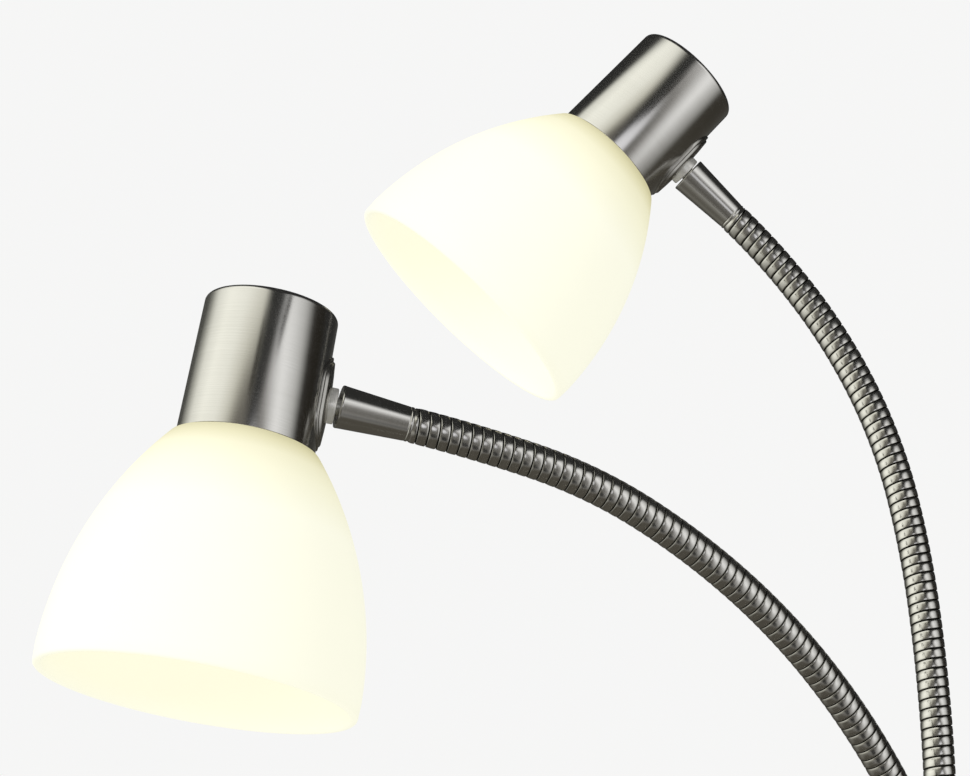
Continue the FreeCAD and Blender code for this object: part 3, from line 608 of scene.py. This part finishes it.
def make_gooseneck(side):
    """Winding from mid-length to mid-length, each piece spanning one hinge; only the piece past the
    last hinge rides on a length.
    """
    starts = link_starts(side)
    turns_per_link = round(LINK / PITCH)
    half = turns_per_link // 2
    edges = [-2] + [half + turns_per_link * k for k in range(HOSE_LENGTHS)]
    bodies = ["stand"] + [f"hose_{side}_{k + 1}" for k in range(HOSE_LENGTHS)]
    for k in range(HOSE_LENGTHS):
        name = f"gooseneck_{side}_piece_{k + 1}"
        piece = gooseneck_section(side, starts, name, edges[k], edges[k + 1])
        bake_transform(piece)
        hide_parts(f"gooseneck_{side}_{k + 1}")
    last = gooseneck_section(side, starts, f"gooseneck_{side}_piece_end", edges[-1],
                             HOSE_LENGTHS * turns_per_link + 1)
    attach(last, bodies[-1])
    return starts[-1]


def axis_matrix(axis, origin):
    """Placement with the given Z direction and its X axis as level as can be."""
    level = Vector((0, 0, 1)).cross(axis).normalized()
    return frame_matrix(level, axis, origin)


def make_socket(side):
    axis = hose_direction(side, 0)
    mouth = Vector(ARMS[side]["mouth"])
    depth = (mouth.z - HUB_TOP) / axis.z
    turn(f"arm_socket_{side}", [
        (7.0, -8.0), (7.0, -1.1), (7.75, -1.1), (8.2, -2.4), (8.2, -7.0), (7.7, -7.5), (7.7, -8.5),
        (8.2, -9.0), (8.2, -depth - 2.5), (2.3, -depth - 2.5), (2.3, -8.0),
    ], axis_matrix(axis, mouth), soft=0.35)


# Reading heads


def neck_vector(side):
    """Direction from a head's ball to its cup."""
    heading = math.radians(ARMS[side]["neck_heading"])
    rise = math.radians(ARMS[side]["neck_rise"])
    level = math.cos(rise)
    return Vector((level * math.cos(heading), level * math.sin(heading), math.sin(rise)))


def opening_vector(side):
    """Direction in which a shade opens."""
    neck = neck_vector(side)
    down = (neck * neck.z - Vector((0, 0, 1))).normalized()
    across = neck.cross(down)
    roll = math.radians(ARMS[side]["head_roll"])
    return down * math.cos(roll) + across * math.sin(roll)


def head_matrix(side, ball):
    """Frame on the cup's axis at the neck: +X to the sleeve, -Z to the opening."""
    neck = neck_vector(side)
    return frame_matrix(-neck, -opening_vector(side), ball + neck * NECK_REACH)


def make_sleeve(side, hose_end):
    """Tapered sleeve with a rolled far end. Returns the centre of its ball seat."""
    axis = hose_direction(side, HOSE_LENGTHS)
    ball = hose_end + axis * (SLEEVE_LENGTH - SLEEVE_DEPTH)
    far = SLEEVE_DEPTH - SLEEVE_LENGTH
    turn(f"sleeve_{side}", [
        (3.0, far), (6.3, far), (6.6, far + 0.4), (6.6, far + 1.1), (6.35, far + 1.35),
        (6.55, far + 1.65), (8.1, 4.9), (8.2, 5.4), (8.0, 6.0), (5.0, 6.0), (5.0, 2.63, -5.65),
        (3.0, -4.79),
    ], axis_matrix(axis, ball), soft=0.22)
    return ball


def thread(low, high, pitch, depth):
    """Radius change for a round screw thread between two heights."""
    def shape(radius, height, angle):
        if not low <= height <= high:
            return radius
        return radius - depth * (0.5 - 0.5 * math.cos(math.tau * (height / pitch - angle / math.tau)))
    return shape


def lugs(inner, count, depth):
    """Radius change for grips round the outside of a ring."""
    def shape(radius, height, angle):
        if radius < inner:
            return radius
        wave = math.sin(angle * count)
        return radius - depth * max(0.0, min(1.0, 0.5 + wave * 1.4))
    return shape


def rows_between(radius, low, high, steps):
    """Corners along a straight wall, so that a thread has points to shape."""
    return [(radius, low + (high - low) * k / steps) for k in range(steps + 1)]


def make_neck(side, place):
    sideways = place @ Matrix.Rotation(math.radians(90), 4, "Y")
    turn(f"swivel_neck_{side}", [
        (1.8, 18.5), (4.0, 18.5), (4.0, 26.4), (6.8, 26.4), (6.8, 29.8), (6.5, 30.1), (3.2, 30.1),
        (3.2, 32.4, 5.6), (1.8, 42.3),
    ], sideways, soft=0.25, material="neck_metal")


def make_plate(side, place):
    """Round-ended plate wrapped round the cup, thinner at its ends, with a stepped edge."""
    half_long = 18.0
    half_wide = 12.0
    straight = half_long - half_wide
    count = 96
    middle_radius = 27.79
    end_curve = 173.0
    taper = 0.008
    above_cup = 0.03
    hole = 0.4
    cup_slope = (CUP_LOW_RADIUS - CUP_TOP_RADIUS) / (CUP_TOP - 2.0 - CUP_LOW)
    # Share of the plate's half width, and how much of its thickness is there.
    rim = [(1.0, 0.0), (1.0, 0.40), (0.985, 0.52), (0.95, 0.54), (0.94, 0.38), (0.925, 0.38),
           (0.915, 0.54), (0.90, 0.86), (0.875, 1.0), (0.6, 1.0), (0.3, 1.0)]

    def point(scale, share, k):
        angle = math.tau * k / count
        y = half_wide * math.cos(angle) * scale
        z = (half_wide * math.sin(angle) + math.copysign(straight, math.sin(angle))) * scale
        inner = CUP_LOW_RADIUS - (z - CUP_LOW) * cup_slope + above_cup
        outer = middle_radius - z * z / (2 * end_curve) - z * taper
        radius = inner + (outer - inner) * share
        return (math.sqrt(radius * radius - y * y), y, z)

    rings = [[point(scale, share, k) for k in range(count)] for scale, share in reversed(rim)]
    rings.append([point(hole, 0.0, k) for k in range(count)])
    verts, faces, uvs = skin(rings)
    name = f"saddle_plate_{side}_piece"
    piece = make_object(name, verts, faces, uvs, MATERIALS["plate_metal"], place)
    dress(piece, f"saddle_plate_{side}")


def make_head(side, ball):
    place = head_matrix(side, ball)
    make_neck(side, place)
    make_plate(side, place)
    turn(f"cup_{side}", [
        (0, CUP_TOP), (0, CUP_TOP - 1), (CUP_TOP_RADIUS - 2, CUP_TOP - 1, -1),
        (CUP_TOP_RADIUS - 1, CUP_TOP - 2), (CUP_LOW_RADIUS - 1, CUP_LOW - 0.2),
        (CUP_LOW_RADIUS, CUP_LOW - 0.2), (CUP_TOP_RADIUS, CUP_TOP - 2, 2),
        (CUP_TOP_RADIUS - 2, CUP_TOP),
    ], place, soft=0.1, steps=160, arc_steps=8)
    turn(f"lampholder_{side}", [
        (0, 16), (0, 31.6), (9, 31.6), (9, 24), (17, 24), (17, -15), (13.9, -15),
        *rows_between(13.9, -15.4, -28.1, 40), (13.6, -28.5), (8.5, -28.5), (8.5, 16),
    ], place, soft=0.4, shape=thread(-27.9, -15.5, 2.2, 0.55))
    turn(f"shade_ring_{side}", [
        (13.95, -23), (19.5, -23), (19.5, -18), (13.95, -18),
    ], place, soft=0.6, steps=240, shape=lugs(18.0, 20, 0.9))
    turn(f"glass_shade_{side}", [
        (14.2, -18), (14.2, -15), (23.6, -15), (23.6, -21.7), (27.6, -22.2, -143),
        (58.8, -108.6), (58.5, -115.6), (55.5, -115.6), (55.8, -108.6, 140),
        (24.6, -25.2), (19.9, -18),
    ], place, soft=1.3, steps=160, arc_steps=40).visible_glossy = False
    turn(f"bulb_{side}", [
        (0, -77.5, 20), (20, -57.5, 20), (7.6, -39), (7.6, -30.5), (6.6, -30.5),
        (6.6, -39.68, -19), (19, -57.5, -19), (0, -76.5),
    ], place, soft=0.8, arc_steps=20, upright=True).visible_glossy = False
    turn(f"bulb_cap_{side}", [
        (0, -30.5), (6.9, -30.5), *rows_between(6.9, -30, -10, 60), (6.9, -8.5),
        (2.5, -5.5), (0, -5.5),
    ], place, soft=0.3, shape=thread(-29.0, -11.0, 3.0, 0.7))


# Stand


def make_base():
    turn("base_cover", [
        (138.5, 2), (140, 2), (140, 17, 620), (22, 30), (6.55, 30), (6.55, 28.5),
        (22, 28.5, -620), (138.5, 15.5),
    ], soft=2.2, steps=256, arc_steps=60)
    turn("base_pad", [(0, 0), (128, 0), (128, 2.5), (0, 2.5)], soft=0.6, steps=192)
    back = Matrix.Translation((0, 0, 0.008)) @ Matrix.Rotation(math.radians(-90), 4, "X")
    turn("cord_grommet", [
        (3.5, 134.5), (4.6, 134.5), (4.6, 140), (5.6, 140), (5.6, 141.5), (3.5, 141.5),
    ], back, soft=0.5, steps=48)
    turn("pole_collar", [
        (12.55, 30), (21, 30), (21, 33), (19.4, 34.1), (18.6, 36.4, 12), (14.2, 41.2),
        (13.6, 42), (12.55, 42),
    ], soft=0.5, steps=128, arc_steps=10)


def make_pole():
    """Three tubes whose rounded ends show as a fine line at each joint."""
    bore = 11.3
    radius = 12.5
    lengths = (("pole_lower", 30, 640), ("pole_middle", 640, 1300), ("pole_upper", 1300, 1690))
    for node, low, high in lengths:
        turn(node, [(bore, low), (radius, low), (radius, high), (bore, high)], soft=0.7, steps=128)


def make_hub():
    reach = 30.0
    outer = 25.0
    inner = 22.5
    edge = 3.0
    edge_steps = 8
    edge_low = HUB_TOP - edge
    ceiling = HUB_TOP - 4.0
    body = [(inner, 1216.0), (24.7, 1216.0), (outer, 1216.4), (outer, 1230.0), (outer, edge_low)]
    for k in range(1, edge_steps + 1):
        angle = math.radians(90 * k / edge_steps)
        body.append((outer - edge + edge * math.cos(angle), edge_low + edge * math.sin(angle)))
    body += [(radius, HUB_TOP) for radius in (18.0, 12.0, 6.0, 1.0)]
    body += [(1.0, ceiling), (inner, ceiling)]
    rings = [slot_ring(radius, reach, height) for radius, height in body]
    verts, faces, uvs = skin(rings)
    dress(make_object("hub_body_piece", verts, faces, uvs, MATERIALS["nickel"]), "hub_body")
    lid = [
        (1.0, 1213.5), (12.0, 1213.5), (23.6, 1213.5), (24.5, 1213.6), (24.9, 1214.0),
        (25.0, 1214.6), (25.0, 1215.6), (24.7, 1215.95), (12.0, 1215.95), (1.0, 1215.95),
    ]
    rings = [slot_ring(radius, reach, height) for radius, height in lid]
    verts, faces, uvs = skin(rings)
    dress(make_object("hub_lid_piece", verts, faces, uvs, MATERIALS["black_plastic"]), "hub_lid")


def flutes(outer, count, depth):
    """Radius change for grooves down the outside of a knob."""
    def shape(radius, height, angle):
        if radius < outer:
            return radius
        return radius - depth * (0.5 - 0.5 * math.cos(angle * count))
    return shape


def make_knob(node, x):
    """Fluted knob on the hub's front, with a pale mark."""
    towards_front = Matrix.Rotation(math.radians(90), 4, "X")
    place = Matrix.Translation((x * MM, 0, KNOB_HEIGHT * MM)) @ towards_front
    turn(node, [
        (0, 15), (3, 15), (3, 28.6), (7.6, 28.6), (7.6, 25.6), (9, 25.6), (9, 26.4), (8.8, 26.8),
        (8.8, 33.4), (8.4, 34.4), (7.4, 35.4), (7.2, 35.2), (6.4, 35.0), (0, 35.2),
    ], place, soft=0.25, steps=192, shape=flutes(8.5, 36, 0.35))
    mark = turn(node, [(0, 35.02), (0.55, 35.02), (0.55, 35.4), (0, 35.45)],
                place @ Matrix.Translation((0, 5.4 * MM, 0)), soft=0.1, steps=24,
                material="holder_plastic", name=node + "_mark")


def make_uplight():
    turn("uplight_cup", [
        (12.55, 1668), (25, 1668, 5), (30, 1673), (30, 1722), (28.8, 1722), (28.8, 1673, -3.8),
        (25, 1669.2), (12.55, 1669.2),
    ], soft=0.4, steps=128, arc_steps=10)
    turn("uplight_lampholder", [
        (0, 1690), (24, 1690), (24, 1722), (19.8, 1722), *rows_between(19.8, 1722.4, 1743, 60),
        (19.3, 1744), (14.6, 1744), (14.6, 1708), (0, 1708),
    ], soft=0.4, shape=thread(1722.6, 1743, 2.6, 0.7))
    turn("uplight_ring", [
        (19.85, 1726), (28, 1726), (28, 1732), (19.85, 1732),
    ], soft=0.7, steps=240, shape=lugs(26.0, 24, 1.0))
    turn("uplight_bowl", [
        (20.1, 1722), (31.5, 1722, 128), (145, 1814), (141, 1814, -124), (29.5, 1726), (20.1, 1726),
    ], soft=1.7, steps=256, arc_steps=60, material="bowl_glass", upright=True)
    centre = 1778
    outer = 27
    inner = 26
    neck = 13.2
    bore = 12.2
    outer_low = centre - math.sqrt(outer ** 2 - neck ** 2)
    inner_low = centre - math.sqrt(inner ** 2 - bore ** 2)
    turn("uplight_bulb", [
        (0, centre + outer, -outer), (outer, centre, -outer), (neck, outer_low), (neck, 1748),
        (bore, 1748), (bore, inner_low, inner), (inner, centre, inner), (0, centre + inner),
    ], soft=0.8, arc_steps=20, material="uplight_bulb_glass", upright=True)
    turn("uplight_bulb_cap", [
        (0, 1716), (5, 1716), (neck, 1720), *rows_between(neck, 1721, 1746, 60),
        (neck, 1748), (0, 1748),
    ], soft=0.3, shape=thread(1722, 1745, 3.6, 0.9))


def finish_other_nodes():
    """The solids that stay get their finish; most of them sit inside other pieces."""
    for name, node in frame["nodes"].items():
        node.data.materials.clear()
        node.data.materials.append(MATERIALS[SLOT_OF[name]])


# Surroundings, in metres

CAMERA_PLACE = (-0.21677, -1.00858, 1.40753)
CAMERA_TILT = 3.0
FOCAL_PIXELS = 2430.0
PICTURE_WIDTH = 970.0
SENSOR_WIDTH = 36.0
BACKGROUND = (0.922, 0.922, 0.918)
WORLD_LIGHT = 0.55
FLOOR_RADIUS = 4.0
# The floor starts to fade at the first distance and is gone at the second.
FLOOR_FADE = (1.0, 3.9)


def make_floor():
    """Pale round floor that fades out well away from the lamp."""
    bpy.ops.mesh.primitive_circle_add(vertices=128, radius=FLOOR_RADIUS, fill_type="NGON")
    floor = bpy.context.object
    floor.name = "floor"
    shader = Shader("floor")
    shader.set(Roughness=0.8)
    grain = shader.noise(shader.coordinates(), 12.0, 4.0)
    colour = shader.ramp(grain, [(0.3, (0.90, 0.90, 0.90)), (0.7, (0.925, 0.925, 0.925))])
    shader.link(colour, shader.surface.inputs["Base Color"])
    space = shader.add("ShaderNodeTexCoord")
    length = shader.add("ShaderNodeVectorMath", operation="LENGTH")
    shader.link(space.outputs["Object"], length.inputs[0])
    fade = shader.add("ShaderNodeMapRange", interpolation_type="SMOOTHSTEP")
    fade.inputs["From Min"].default_value = FLOOR_FADE[0]
    fade.inputs["From Max"].default_value = FLOOR_FADE[1]
    shader.link(length.outputs["Value"], fade.inputs["Value"])
    clear = shader.add("ShaderNodeBsdfTransparent")
    mix = shader.add("ShaderNodeMixShader")
    shader.link(fade.outputs["Result"], mix.inputs["Fac"])
    shader.link(shader.surface.outputs["BSDF"], mix.inputs[1])
    shader.link(clear.outputs["BSDF"], mix.inputs[2])
    shader.link(mix.outputs["Shader"], shader.output.inputs["Surface"])
    floor.data.materials.append(shader.material)
    floor.visible_glossy = False


def make_world():
    """Plain pale surroundings; the background shows at its own colour."""
    world = bpy.data.worlds.new("studio")
    scene.world = world
    world.use_nodes = True
    tree = world.node_tree
    lamp = tree.nodes["Background"]
    lamp.inputs["Color"].default_value = (1.0, 1.0, 1.0, 1.0)
    lamp.inputs["Strength"].default_value = WORLD_LIGHT
    shown = tree.nodes.new("ShaderNodeBackground")
    shown.inputs["Color"].default_value = (*BACKGROUND, 1.0)
    path = tree.nodes.new("ShaderNodeLightPath")
    first = tree.nodes.new("ShaderNodeMath")
    first.operation = "MAXIMUM"
    both = tree.nodes.new("ShaderNodeMath")
    both.operation = "MAXIMUM"
    tree.links.new(path.outputs["Is Camera Ray"], first.inputs[0])
    tree.links.new(path.outputs["Is Glossy Ray"], first.inputs[1])
    tree.links.new(first.outputs[0], both.inputs[0])
    tree.links.new(path.outputs["Is Transmission Ray"], both.inputs[1])
    mix = tree.nodes.new("ShaderNodeMixShader")
    tree.links.new(both.outputs[0], mix.inputs["Fac"])
    tree.links.new(lamp.outputs[0], mix.inputs[1])
    tree.links.new(shown.outputs[0], mix.inputs[2])
    tree.links.new(mix.outputs[0], tree.nodes["World Output"].inputs["Surface"])


def only_in_gloss(thing):
    """A studio panel that shows in metal and glass and nowhere else."""
    thing.visible_camera = False
    thing.visible_diffuse = False
    thing.visible_transmission = False
    thing.visible_shadow = False
    thing.visible_volume_scatter = False


# The studio that metal mirrors: how far a direction leans towards the camera (1 straight
# at it), then the tone there, first to the left and above, then to the right and below.
TENT_LEFT = [
    (-1.0, (0.07, 0.07, 0.065)), (-0.72, (0.09, 0.09, 0.08)), (-0.48, (0.48, 0.48, 0.43)),
    (-0.27, (0.90, 0.90, 0.82)), (0.10, (1.14, 1.14, 1.04)), (0.51, (1.02, 1.02, 0.93)),
    (0.68, (0.80, 0.79, 0.70)), (0.75, (0.60, 0.59, 0.51)), (0.80, (0.34, 0.33, 0.28)),
    (0.85, (0.15, 0.14, 0.12)), (1.0, (0.17, 0.165, 0.155)),
]
TENT_RIGHT = [
    (-1.0, (0.10, 0.10, 0.095)), (-0.80, (0.06, 0.058, 0.05)), (-0.60, (0.035, 0.032, 0.028)),
    (-0.36, (0.02, 0.018, 0.014)), (-0.02, (0.025, 0.022, 0.018)), (0.10, (0.26, 0.26, 0.25)),
    (0.22, (0.52, 0.52, 0.51)), (0.42, (0.76, 0.76, 0.755)), (0.60, (0.98, 0.98, 0.98)),
    (0.68, (0.86, 0.86, 0.86)), (0.76, (0.58, 0.575, 0.57)), (0.81, (0.32, 0.31, 0.30)),
    (0.86, (0.15, 0.145, 0.135)), (1.0, (0.17, 0.165, 0.155)),
]
TENT_TOP = (0.03, 0.03, 0.029)
TENT_BOTTOM = (0.085, 0.078, 0.064)
TENT_LAMP = (0.92, 0.92, 0.96)
TENT_CENTRE = (-0.2, -0.1, 1.35)
TENT_RADIUS = 6.0


def only_glow(name):
    """Shader that only gives off light, with its emission node."""
    shader = Shader(name)
    shader.tree.nodes.remove(shader.surface)
    glow = shader.add("ShaderNodeEmission")
    shader.link(glow.outputs["Emission"], shader.output.inputs["Surface"])
    shader.material.cycles.emission_sampling = "NONE"
    return shader, glow


def make_tent():
    """Studio of soft boxes that only polished surfaces see, turned to face the camera."""
    bpy.ops.mesh.primitive_uv_sphere_add(
        segments=96, ring_count=48, radius=TENT_RADIUS, location=TENT_CENTRE)
    tent = bpy.context.object
    tent.name = "studio_tent"
    tent.rotation_euler = (math.radians(CAMERA_TILT), 0.0, 0.0)
    shader, glow = only_glow("studio_tent")
    space = shader.add("ShaderNodeTexCoord")
    unit = shader.add("ShaderNodeVectorMath", operation="NORMALIZE")
    shader.link(space.outputs["Object"], unit.inputs[0])

    def towards(direction, low, high):
        """0 to 1 as the direction's share of the way goes from low to high."""
        product = shader.add("ShaderNodeVectorMath", operation="DOT_PRODUCT")
        shader.link(unit.outputs["Vector"], product.inputs[0])
        product.inputs[1].default_value = direction
        return shader.spread(product.outputs["Value"], 0.0, 1.0, low, high)

    def blend(base, over, share):
        """A tone laid over another one by its share, 0 to 1."""
        layer = shader.add("ShaderNodeMix", data_type="RGBA")
        shader.link(share, layer.inputs["Factor"])
        shader.link(base, layer.inputs[6])
        if isinstance(over, tuple):
            layer.inputs[7].default_value = (*over, 1.0)
        else:
            shader.link(over, layer.inputs[7])
        return layer.outputs[2]

    # Left and right soft boxes, which meet across the way from the camera.
    front = towards((0.0, -1.0, 0.0), -1.0, 1.0)
    left = shader.ramp(front, [((lean + 1) / 2, tone) for lean, tone in TENT_LEFT])
    right = shader.ramp(front, [((lean + 1) / 2, tone) for lean, tone in TENT_RIGHT])
    boxes = blend(left, right, towards((0.87, 0.0, -0.5), -0.06, 0.06))
    # Dark ceiling between the two boxes, which narrows towards the camera.
    wedge = shader.maths("MAXIMUM", towards((0.94, -0.51, -0.34), 0.50, 0.65),
                         towards((-0.94, -0.51, 0.34), 0.50, 0.65))
    above = towards((0.34, 0.0, 0.94), 0.0, 0.2)
    top = shader.maths("MULTIPLY", above, shader.maths("SUBTRACT", 1.0, wedge))
    total = blend(boxes, TENT_TOP, top)
    total = blend(total, TENT_BOTTOM, towards((0.0, 0.0, -1.0), 0.05, 0.85))
    # A dark and a bright spot in front, below and above the camera.
    total = blend(total, TENT_TOP, towards((0.12, -0.80, -0.58), 0.955, 0.985))
    total = blend(total, TENT_LAMP, towards((0.22, -0.959, 0.18), 0.972, 0.990))
    shader.link(total, glow.inputs["Color"])
    tent.data.materials.append(shader.material)
    only_in_gloss(tent)


# Size of a dark card, and its distance from the cup that mirrors it, in millimetres.
FLAG_SIZE = (150, 56)
FLAG_DISTANCE = 600


def make_flag(name, near, direction, along):
    """Small dark card in a direction from one spot, which draws a dark line on what is there."""
    bpy.ops.mesh.primitive_plane_add(size=1.0)
    card = bpy.context.object
    card.name = name
    reach = Vector(direction).normalized()
    long_side = Vector(along)
    long_side = (long_side - reach * long_side.dot(reach)).normalized()
    place = frame_matrix(long_side, -reach, Vector(near) + reach * FLAG_DISTANCE)
    card.matrix_world = place @ Matrix.Diagonal((FLAG_SIZE[0] * MM, FLAG_SIZE[1] * MM, 1.0, 1.0))
    shader, glow = only_glow(name)
    mottle = shader.noise(shader.coordinates(), 3.0, 2.0)
    tone = shader.ramp(mottle, [(0.3, (0.010, 0.008, 0.005)), (0.7, (0.016, 0.013, 0.009))])
    shader.link(tone, glow.inputs["Color"])
    card.data.materials.append(shader.material)
    only_in_gloss(card)


def make_lamp(name, place, aim, size, power):
    data = bpy.data.lights.new(name, "AREA")
    data.shape = "DISK"
    data.size = size
    data.energy = power
    lamp = bpy.data.objects.new(name, data)
    lamp.location = place
    lamp.rotation_euler = (Vector(aim) - Vector(place)).to_track_quat("-Z", "Y").to_euler()
    lamp.visible_camera = False
    lamp.visible_glossy = False
    scene.collection.objects.link(lamp)


def make_camera():
    data = bpy.data.cameras.new("camera")
    data.sensor_width = SENSOR_WIDTH
    data.lens = FOCAL_PIXELS * SENSOR_WIDTH / PICTURE_WIDTH
    data.clip_start = 0.05
    data.clip_end = 100.0
    camera = bpy.data.objects.new("camera", data)
    camera.location = CAMERA_PLACE
    camera.rotation_euler = (math.radians(90.0 + CAMERA_TILT), 0.0, 0.0)
    scene.collection.objects.link(camera)
    scene.camera = camera


scene.view_settings.view_transform = "Standard"
make_camera()
make_world()
make_floor()
make_tent()
make_flag("flag_cup_left", (-303, -134, 1460), (0.03, -0.83, 0.555), (0.157, 0.273, 0.949))
make_flag("flag_cup_right", (-143, 38, 1584), (0.30, -0.888, 0.325), (0.685, 0.145, 0.714))
make_lamp("key", (-2.2, -2.0, 2.6), (0, 0, 1.2), 2.0, 110.0)
make_lamp("fill", (2.4, -1.6, 2.2), (0, 0, 1.0), 1.6, 12.0)
make_lamp("back", (0.6, 2.6, 3.0), (0, 0, 1.0), 1.6, 24.0)

finish_other_nodes()
make_base()
make_pole()
make_hub()
make_knob("uplight_knob", -3.0)
make_knob("reading_knob", -27.0)
make_uplight()
for arm in ARMS:
    make_socket(arm)
    hose_end = make_gooseneck(arm)
    make_head(arm, make_sleeve(arm, hose_end))

# The cups and arms don't mirror the pole and the uplight.
for piece in scene.objects:
    if piece.name.startswith(("pole_", "uplight_")):
        piece.visible_glossy = False
